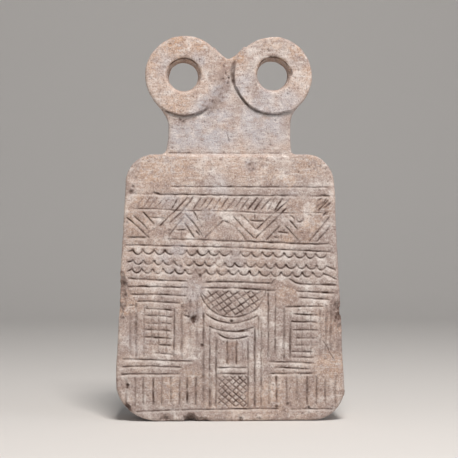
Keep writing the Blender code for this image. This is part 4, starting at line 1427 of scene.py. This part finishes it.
    def sides(self, grid: TrimmedGrid, front: Array, back: Array) -> tuple[Array, int]:
        """The sides: a profile carried along the grid's edge, on the outline and in both eyes.

        From the front edge the profile goes round a quarter circle, straight back or through the
        eye's waist, and round another quarter circle to the back edge.

        Args:
            grid: the trimmed grid.
            front: the front's depth at its nodes.
            back: the back's depth at its nodes.

        Returns:
            The points between the two edges, row after row, and how many steps the profile has.
        """
        x, z = grid.x[grid.edge], grid.z[grid.edge]
        out_x, out_z = self.outline.slope(x, z)
        in_eye = self.outline.eyes(x, z) > -2.0 * grid.inset
        narrow = np.where(in_eye, self.eye_bulge, 0.0)
        turns = ((self.front_round + 0.0 * z, self.front_steps), (self.back_radius(z), self.back_steps))
        rows = []
        ends = []
        for (radius, steps), edge, way in zip(turns, (front[grid.edge], back[grid.edge]), (1.0, -1.0)):
            first = np.arcsin((radius - grid.inset) / radius)
            turn = []
            for step in range(steps + 1):
                angle = first + (np.pi / 2.0 - first) * step / steps
                out = radius * (np.sin(angle) - np.sin(first))
                turn.append((out, edge + way * radius * (np.cos(first) - np.cos(angle))))
            ends.append(turn)
        start, end = ends[0][-1][1], ends[1][-1][1]
        straight = []
        for share in np.linspace(0.0, 1.0, self.wall_steps + 1)[1:-1]:
            waist = narrow * (1.0 - abs(2.0 * share - 1.0) ** 3)
            straight.append((grid.inset + waist, start + (end - start) * share))
        profile = ends[0] + straight + ends[1][::-1]
        for out, depth in profile[1:-1]:
            rows.append(np.column_stack((x + out * out_x, depth, z + out * out_z)))
        return np.vstack(rows), len(profile) - 1

    def arrays(self, grid: TrimmedGrid, face: Face) -> tuple[Array, Array]:
        """The closed mesh before it is weathered.

        Args:
            grid: the trimmed grid.
            face: what was cut into the front.

        Returns:
            Its points in millimetres and its triangles.
        """
        front, back = self.front(grid, face), self.back(grid)
        between, steps = self.sides(grid, front, back)
        count, rim = len(grid.x), len(grid.edge)
        points = np.vstack((
            np.column_stack((grid.x, front, grid.z)),
            np.column_stack((grid.x, back, grid.z)),
            between,
        ))
        sheet = grid.triangles()
        order = np.full(count, -1)
        order[grid.edge] = np.arange(rim)
        start, end = (order[part] for part in grid.edges())
        rows = [grid.edge] + [2 * count + rim * k + np.arange(rim) for k in range(steps - 1)]
        rows.append(count + grid.edge)
        walls = []
        for near, far in zip(rows, rows[1:]):
            walls.append(np.column_stack((near[end], near[start], far[start])))
            walls.append(np.column_stack((near[end], far[start], far[end])))
        return points, np.vstack([sheet, sheet[:, ::-1] + count] + walls)

    def relief(self, points: Array, broken: Array) -> Array:
        """How far the worked surface stands up or sinks at each point: noise of four sizes.

        The front is rubbed smoother than the sides, back and broken places. The back and sides
        also keep slanting tool marks, 18 mm long and 3 mm wide.

        Args:
            points: places in millimetres.
            broken: how much each belongs to a broken place, from 0 to 1.

        Returns:
            The height at each point.
        """
        plain = smooth(points[:, 1], self.face_depth + 2.0, self.face_depth + 9.0)
        rough = np.clip(plain + broken, 0.0, 1.0)
        fine = 1.0 - 0.85 * smooth(points[:, 1], -10.0, 2.0) * (1.0 - broken)
        height = (0.22 + 0.28 * rough) * LatticeNoise(24.0, 61).at(points)
        height += (0.13 + 0.20 * rough) * LatticeNoise(8.0, 62).at(points)
        height += fine * (0.07 + 0.08 * rough + 0.34 * broken) * LatticeNoise(2.6, 63).at(points)
        height += fine * (0.04 + 0.04 * rough + 0.22 * broken) * LatticeNoise(1.2, 64).at(points)
        along = 0.8 * points[:, 0] + 0.6 * points[:, 2]
        across = 0.8 * points[:, 2] - 0.6 * points[:, 0]
        marks = LatticeNoise(3.0, 65).at(np.column_stack((along / 6.0, points[:, 1] / 2.0, across)))
        return height + 0.16 * plain * marks - 0.3 * plain

    def weathered(self, points: Array, faces: Array) -> Array:
        """Presses in the chips, then roughens the surface along its normals and flattens the foot.

        Args:
            points: the mesh's points in millimetres.
            faces: its triangles.

        Returns:
            The points, moved.
        """
        for chip in self.chips:
            points = chip.press(points)
        height = self.relief(points, self.broken(points))
        points = points + vertex_normals(points, faces) * height[:, None]
        points[:, 2] = np.maximum(points[:, 2], 0.0)
        return points

    def broken(self, points: Array) -> Array:
        """How much each place belongs to a chip, from 0 to 1."""
        return np.max([chip.cover(points) for chip in self.chips], axis=0)

    def build(self) -> bpy.types.Object:
        """Makes the stone and its surface attributes.

        Returns:
            The finished object.
        """
        grid = TrimmedGrid(self.outline, self.pitch)
        face = Face(grid)
        for stroke in all_strokes(self.outline):
            face.cut(stroke)
        face.weather()
        points, faces = self.arrays(grid, face)
        LOG.info("grid gives %d triangles", len(faces))
        raw = new_mesh("idol_stone_raw", self.weathered(points, faces) * MM, faces)
        stone = thinned("idol_stone", raw, self.triangles)
        spots = mesh_points(stone.data) / MM
        self.dress(stone.data, spots, grid, face)
        return stone

    def dress(self, mesh: bpy.types.Mesh, spots: Array, grid: TrimmedGrid, face: Face) -> None:
        """Writes what the stone's material reads at each point: soil and painted shade, painted highlights
        on lips, breakage, stains and painted bounce light.

        The upper walls of the eyes are painted ochre as bounce light, with a band of painted shadow just
        behind the front.

        Args:
            mesh: the finished mesh.
            spots: its points in millimetres.
            grid: the grid that carries the face's fields.
            face: what was cut into the front.
        """
        x, z = spots[:, 0], spots[:, 2]
        deep = spots[:, 1] - self.face_depth
        near = 1.0 - smooth(deep, 5.5, 8.0)
        soil_and_shade = grid.sample(face.soil_and_shade, x, z) * near
        # painted shadow and light in the eyes: a dark band under each upper rim, and ochre bounce light on
        # the upper wall behind it
        above = z - self.outline.eye_centres[0][1]
        wall = smooth(self.outline.eyes(x, z), -2.4, -0.6)
        lintel = smooth(above, 6.0, 10.5)
        shade = smooth(deep, 0.3, 1.0) - smooth(deep, 1.8, 3.4)
        uneven = 0.7 + 0.5 * LatticeNoise(4.0, 71).on_face(x, z)
        chip_soil = np.max([chip.dirt_and_shade * chip.cover(spots) for chip in self.chips], axis=0)
        front = 1.0 - smooth(deep, 4.0, 9.0)
        # darker mottling over the front below the plain upper band
        lower_darkening = 1.0 - smooth(z, 176.0, 186.0)
        # painted shadow in the band behind the eyes' upper rims, joined with the soil of the chips
        soil_and_shade = np.maximum(soil_and_shade, np.maximum(wall * lintel * shade * uneven, 0.9 * chip_soil ** 1.6))
        ochre_and_bounce_light = strongest(self.staining.ochre_and_bounce_light, x, z) * front
        values = {
            "soil_and_shade": np.clip(soil_and_shade, 0.0, 1.0),
            # painted highlight on the grooves' lower lips
            "lip_highlight": grid.sample(face.lip_highlight, x, z) * near,
            "broken": self.broken(spots),
            "edge": smooth(self.outline.distance(x, z), -4.0, 0.0),
            # ochre stains, and painted bounce light on the eyes' upper walls
            "ochre_and_bounce_light": np.maximum(ochre_and_bounce_light, 0.9 * wall * smooth(above, -3.0, 6.0)),
            # lilac stains, and painted shade on the left ring's slope towards the web
            "lilac_and_shade": strongest(self.staining.lilac_and_shade, x, z) * front,
            # grime, and painted shade on the left ring's slope towards the web
            "grime_and_shade": strongest(self.staining.grime_and_shade, x, z) * (1.0 - smooth(deep, 8.0, 14.0)),
            "lower_darkening": lower_darkening * front,
        }
        for name, numbers in values.items():
            made = mesh.attributes.new(name, "FLOAT", "POINT")
            made.data.foreach_set("value", numbers.astype(np.float32))


def vertex_normals(points: Array, faces: Array) -> Array:
    """Unit normals at the points: the sum of the area vectors of the triangles around each.

    Args:
        points: the mesh's points.
        faces: its triangles.

    Returns:
        One unit vector for each point.
    """
    a, b, c = (points[faces[:, k]] for k in range(3))
    area = np.cross(b - a, c - a)
    total = np.zeros_like(points)
    for corner in range(3):
        for axis in range(3):
            total[:, axis] += np.bincount(faces[:, corner], area[:, axis], len(points))
    return total / np.maximum(np.linalg.norm(total, axis=1, keepdims=True), 1e-12)


def new_mesh(name: str, points: Array, faces: Array) -> bpy.types.Mesh:
    """A mesh of triangles from arrays.

    Args:
        name: the mesh's name.
        points: places in metres.
        faces: three point numbers for each triangle.

    Returns:
        The mesh.
    """
    mesh = bpy.data.meshes.new(name)
    mesh.vertices.add(len(points))
    mesh.vertices.foreach_set("co", points.astype(np.float32).ravel())
    mesh.loops.add(faces.size)
    mesh.loops.foreach_set("vertex_index", faces.astype(np.int32).ravel())
    mesh.polygons.add(len(faces))
    mesh.polygons.foreach_set("loop_start", np.arange(0, faces.size, 3, dtype=np.int32))
    mesh.update(calc_edges=True)
    return mesh


def placed(name: str, data: bpy.types.ID) -> bpy.types.Object:
    """A new object of the scene that holds some data.

    Args:
        name: the object's name.
        data: its mesh, lamp or camera.

    Returns:
        The object, at the origin.
    """
    made = bpy.data.objects.new(name, data)
    bpy.context.scene.collection.objects.link(made)
    return made


def thinned(name: str, mesh: bpy.types.Mesh, triangles: int) -> bpy.types.Object:
    """An object whose mesh is thinned where it is flat, until it has so many triangles.

    Args:
        name: the object's name.
        mesh: the full mesh, which is removed.
        triangles: the number to reach.

    Returns:
        The object, with no live modifiers.
    """
    source = placed(name + "_full", mesh)
    thin = source.modifiers.new("thin", "DECIMATE")
    thin.ratio = min(1.0, triangles / len(mesh.polygons))
    graph = bpy.context.evaluated_depsgraph_get()
    final = bpy.data.meshes.new_from_object(source.evaluated_get(graph))
    bpy.data.objects.remove(source)
    bpy.data.meshes.remove(mesh)
    final.name = name
    final.shade_smooth()
    return placed(name, final)


def mesh_points(mesh: bpy.types.Mesh) -> Array:
    """The mesh's points.

    Args:
        mesh: the mesh.

    Returns:
        One row of three numbers for each point.
    """
    flat = np.empty(3 * len(mesh.vertices), dtype=np.float32)
    mesh.vertices.foreach_get("co", flat)
    return flat.reshape(-1, 3).astype(float)


def linear(hex_colour: str) -> tuple[float, float, float, float]:
    """An sRGB colour as linear light.

    Args:
        hex_colour: the colour, such as "#c9b5aa".

    Returns:
        Red, green, blue and alpha.
    """
    parts = [int(hex_colour[k:k + 2], 16) / 255.0 for k in (1, 3, 5)]
    light = [c / 12.92 if c <= 0.04045 else ((c + 0.055) / 1.055) ** 2.4 for c in parts]
    return (*light, 1.0)


def add_node(
    tree: bpy.types.NodeTree, kind: str, settings: dict[str, Any], links: dict[Any, Any],
) -> bpy.types.Node:
    """Adds a shader node with its settings and links.

    Args:
        tree: the material's node tree.
        kind: the node's type, without its usual start.
        settings: values of the node's own properties.
        links: for an input's name or number, a plain value or the output that feeds it.

    Returns:
        The node.
    """
    made = tree.nodes.new("ShaderNode" + kind)
    for name, value in settings.items():
        setattr(made, name, value)
    for name, value in links.items():
        if isinstance(value, bpy.types.NodeSocket):
            tree.links.new(value, made.inputs[name])
        else:
            made.inputs[name].default_value = value
    return made


@dataclass(frozen=True)
class CarvedSandstone:
    """Fine-grained sandstone, cut with a point, rubbed flat and long buried: dry, matt and speckled.

    Sizes are real ones in millimetres. The grains themselves are about 0.3 mm, too fine to show, so they are
    drawn as speckles of about 1 mm. The eye sees a pale, dusty stone with no gloss, warmer and cooler by
    turns, with dark earth and painted shade in every cut, and painted highlights on the cuts' lower lips.

    Attributes:
        ground, warm: the stone's own two shades, in soft beds.
        pale, dusk, speck: its lighter and darker mottling, and its darkest grains.
        ochre_and_bounce_light, lilac_and_shade: its stains, with ochre also painted as bounce light on the
            eyes' upper walls, and lilac as shade on the left ring's slope towards the web.
        soil_and_shade, fresh: the earth in cuts and pits, also painted as shade on the grooves' upper walls,
            under the rings and in the eyes, and the stone in broken places.
        grain_mm, speckle_mm, blotch_mm, mottle_mm, bed_mm: the sizes of its patterns.
        streak_mm, streak_stretch: the marks of rubbing, and how they are drawn out sideways.
        grain_height_mm, blotch_height_mm: how high grains and blotches stand.
        roughness, specular: how matt it is, and how much of the lamps it mirrors.
    """

    ground: str = "#b1a39c"
    warm: str = "#bda89b"
    pale: str = "#dcd5d0"
    dusk: str = "#97857e"
    speck: str = "#776560"
    ochre_and_bounce_light: str = "#b58d6b"
    lilac_and_shade: str = "#b2afb3"
    soil_and_shade: str = "#432d23"
    fresh: str = "#9c8577"
    grain_mm: float = 1.0
    speckle_mm: float = 2.1
    blotch_mm: float = 4.2
    mottle_mm: float = 10.0
    bed_mm: float = 42.0
    streak_mm: float = 2.4
    streak_stretch: tuple[float, float, float] = (0.25, 1.0, 1.5)
    grain_height_mm: float = 0.3
    blotch_height_mm: float = 0.7
    roughness: float = 0.92
    specular: float = 0.25

    def layers(self) -> tuple[tuple[str, str, float, float, float, str], ...]:
        """The colours that lie over the ground, one upon the other.

        Returns:
            Each colour, with its noise, the noise's values where it begins and where it covers most,
            how much it covers there, and the surface attribute that it keeps to, or none.
        """
        return (
            (self.warm, "bed", 0.42, 0.62, 1.0, ""),
            (self.pale, "mottle", 0.50, 0.70, 0.85, ""),
            (self.dusk, "mottle", 0.48, 0.30, 0.55, ""),
            # lilac stains, and painted shade on the left ring's slope towards the web
            (self.lilac_and_shade, "mottle", 0.25, 0.55, 1.0, "lilac_and_shade"),
            # ochre stains, and painted bounce light on the eyes' upper walls
            (self.ochre_and_bounce_light, "blotch", 0.36, 0.64, 0.9, "ochre_and_bounce_light"),
            (self.ochre_and_bounce_light, "mottle", 0.46, 0.66, 0.3, "edge"),
            (self.fresh, "speckle", 0.3, 0.7, 0.9, "broken"),
            (self.dusk, "blotch", 0.47, 0.32, 0.65, ""),
            (self.pale, "blotch", 0.53, 0.68, 0.65, ""),
            (self.dusk, "streak", 0.46, 0.28, 0.6, ""),
            (self.pale, "streak", 0.54, 0.72, 0.6, ""),
            # darker mottling below the plain upper band
            (self.dusk, "mottle", 0.65, 0.35, 0.55, "lower_darkening"),
            (self.speck, "speckle", 0.55, 0.73, 0.7, ""),
            (self.pale, "speckle", 0.45, 0.29, 0.5, ""),
            (self.pale, "grain", 0.54, 0.72, 0.55, ""),
            (self.speck, "grain", 0.47, 0.29, 0.65, ""),
            # dark speckle and blotch of grime, with painted shade on the left ring's slope towards the web
            (self.soil_and_shade, "speckle", 0.49, 0.64, 0.85, "grime_and_shade"),
            (self.dusk, "blotch", 0.32, 0.54, 0.8, "grime_and_shade"),
            # painted highlight: pale speckle on the grooves' lower lips
            (self.pale, "speckle", 0.30, 0.62, 0.8, "lip_highlight"),
            # earth in cuts and pits, and painted shade on the grooves' upper walls, under the rings and in
            # the eyes
            (self.soil_and_shade, "speckle", 0.12, 0.40, 0.98, "soil_and_shade"),
        )

    def material(self) -> bpy.types.Material:
        """Builds the material.

        Returns:
            The material.
        """
        made = bpy.data.materials.new("carved_sandstone")
        made.use_nodes = True
        tree = made.node_tree
        shader = tree.nodes["Principled BSDF"]
        place = add_node(tree, "TexCoord", {}, {}).outputs["Object"]
        links = {"Vector": place, "Scale": self.streak_stretch}
        drawn = add_node(tree, "Mapping", {}, links).outputs["Vector"]
        # Each noise: where it is read, the size of its largest bumps, its detail and its roughness
        noises = {
            "bed": (place, self.bed_mm, 4.0, 0.6),
            "mottle": (place, self.mottle_mm, 6.0, 0.62),
            "blotch": (place, self.blotch_mm, 4.0, 0.6),
            "speckle": (place, self.speckle_mm, 3.0, 0.7),
            "grain": (place, self.grain_mm, 2.0, 0.6),
            "streak": (drawn, self.streak_mm, 3.0, 0.6),
        }
        found = {}
        for name, (where, size_mm, detail, rough) in noises.items():
            links = {"Vector": where, "Scale": 1.0 / (size_mm * MM), "Detail": detail, "Roughness": rough}
            found[name] = add_node(tree, "TexNoise", {}, links).outputs["Fac"]
        colour = linear(self.ground)
        for over, noise, low, high, top, mark in self.layers():
            links = {"Value": found[noise], "From Min": low, "From Max": high, "To Max": top}
            rise = add_node(tree, "MapRange", {"interpolation_type": "SMOOTHSTEP"}, links)
            share = rise.outputs["Result"]
            if mark:
                there = add_node(tree, "Attribute", {"attribute_name": mark}, {}).outputs["Fac"]
                share = add_node(tree, "Math", {"operation": "MULTIPLY"}, {0: there, 1: share}).outputs[0]
            links = {0: share, 6: colour, 7: linear(over)}
            colour = add_node(tree, "Mix", {"data_type": "RGBA"}, links).outputs[2]
        tree.links.new(colour, shader.inputs["Base Color"])
        links = {"Height": found["grain"], "Strength": 0.6, "Distance": self.grain_height_mm * MM}
        fine = add_node(tree, "Bump", {}, links).outputs["Normal"]
        links = {"Height": found["blotch"], "Strength": 0.6, "Distance": self.blotch_height_mm * MM}
        coarse = add_node(tree, "Bump", {}, links | {"Normal": fine}).outputs["Normal"]
        tree.links.new(coarse, shader.inputs["Normal"])
        shader.inputs["Roughness"].default_value = self.roughness
        shader.inputs["Metallic"].default_value = 0.0
        shader.inputs["Specular IOR Level"].default_value = self.specular
        return made


@dataclass(frozen=True)
class Studio:
    """A plain pale sweep, soft lamps and the camera.

    Attributes:
        distance: from the camera to the slab's front, in metres.
        height: the camera's height, level with the middle of the picture.
        turn: how far round to the left the camera stands, in degrees.
        lens, sensor: its focal length and its sensor's width, in millimetres.
        aim: where on the floor plan it looks, as across and depth in metres.
        sweep_half, sweep_front, sweep_top: how far the floor and wall reach aside, forward and up.
        sweep_start, sweep_bend: where the floor begins to curve up, and the curve's radius.
        lamps: each lamp's name, place, size, power and tint.
        room, room_light: the colour and strength of the light from all around.
    """

    distance: float = 1.10
    height: float = 0.1447
    turn: float = 2.3
    lens: float = 115.0
    sensor: float = 36.0
    aim: Place = (-0.0009, -0.025)
    sweep_half: float = 4.0
    sweep_front: float = -3.0
    sweep_top: float = 3.5
    sweep_start: float = 1.2
    sweep_bend: float = 0.8
    lamps: tuple[tuple[str, tuple[float, float, float], float, float, str], ...] = (
        ("key", (0.12, -0.95, 1.5), 0.5, 30.5, "#fff9f4"),
        ("fill_right", (1.4, -0.8, 0.6), 0.9, 4.5, "#f6f8ff"),
        ("fill_left", (-1.4, -0.7, 0.4), 0.9, 1.5, "#f6f6ff"),
    )
    room: str = "#e6e8ec"
    room_light: float = 0.2

    def camera(self) -> None:
        """Places the camera level, looking at the slab's front."""
        data = bpy.data.cameras.new("camera")
        data.lens = self.lens
        data.sensor_width = self.sensor
        made = placed("camera", data)
        turn = math.radians(self.turn)
        made.location = (
            self.aim[0] - self.distance * math.sin(turn),
            self.aim[1] - self.distance * math.cos(turn),
            self.height,
        )
        made.rotation_euler = (math.pi / 2.0, 0.0, -turn)
        bpy.context.scene.camera = made

    def sweep(self) -> None:
        """The floor, which curves up behind into a wall: a profile carried across."""
        start, bend = self.sweep_start, self.sweep_bend
        angle = np.linspace(0.0, np.pi / 2.0, 13)
        depth = np.concatenate(([self.sweep_front], start + bend * np.sin(angle), [start + bend]))
        height = np.concatenate(([0.0], bend * (1.0 - np.cos(angle)), [self.sweep_top]))
        rows = []
        for side in (-self.sweep_half, self.sweep_half):
            rows.append(np.column_stack((np.full(len(depth), side), depth, height)))
        count = len(depth)
        near = np.arange(count - 1)
        low = np.column_stack((near, near + count, near + count + 1))
        high = np.column_stack((near, near + count + 1, near + 1))
        mesh = new_mesh("floor_sweep", np.vstack(rows), np.vstack((low, high)))
        mesh.shade_smooth()
        # Studio paper, rolled smooth and matt: an even pale ground with no gloss
        paper = bpy.data.materials.new("pale_paper")
        paper.use_nodes = True
        shader = paper.node_tree.nodes["Principled BSDF"]
        shader.inputs["Base Color"].default_value = linear("#d9d7d4")
        shader.inputs["Roughness"].default_value = 0.9
        mesh.materials.append(paper)
        placed("floor_sweep", mesh)

    def lamp(
        self, name: str, place: tuple[float, float, float], size: float, power: float, tint: str,
    ) -> None:
        """A square soft lamp aimed at the middle of the stone.

        Args:
            name: the lamp's name.
            place: where it hangs, in metres.
            size: its edge in metres.
            power: its power in watts.
            tint: its colour.
        """
        data = bpy.data.lights.new(name, "AREA")
        data.shape = "SQUARE"
        data.size = size
        data.energy = power
        data.color = linear(tint)[:3]
        made = placed(name, data)
        made.location = place
        aim = Vector((0.0, 0.0, self.height)) - Vector(place)
        made.rotation_euler = aim.to_track_quat("-Z", "Y").to_euler()

    def light(self) -> None:
        """One key lamp above and in front, weak fills at both sides, and a pale world."""
        for lamp in self.lamps:
            self.lamp(*lamp)
        world = bpy.data.worlds.new("room")
        world.use_nodes = True
        glow = world.node_tree.nodes["Background"]
        glow.inputs["Color"].default_value = linear(self.room)
        glow.inputs["Strength"].default_value = self.room_light
        bpy.context.scene.world = world
        bpy.context.scene.view_settings.view_transform = "Standard"

    def build(self) -> None:
        """Sets up the whole studio."""
        self.camera()
        self.sweep()
        self.light()


def main() -> None:
    """Builds the studio and the stone, and logs the stone's triangle count."""
    logging.basicConfig(level=logging.INFO, format="%(message)s")
    Studio().build()
    pitch = FINE_PITCH
    stone = IdolStone(Outline(), pitch, TRIANGLES).build()
    stone.data.materials.append(CarvedSandstone().material())
    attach(stone, "root")
    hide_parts("idol")
    LOG.info("%s: %d triangles", stone.name, len(stone.data.polygons))


if __name__ == "__main__":
    main()
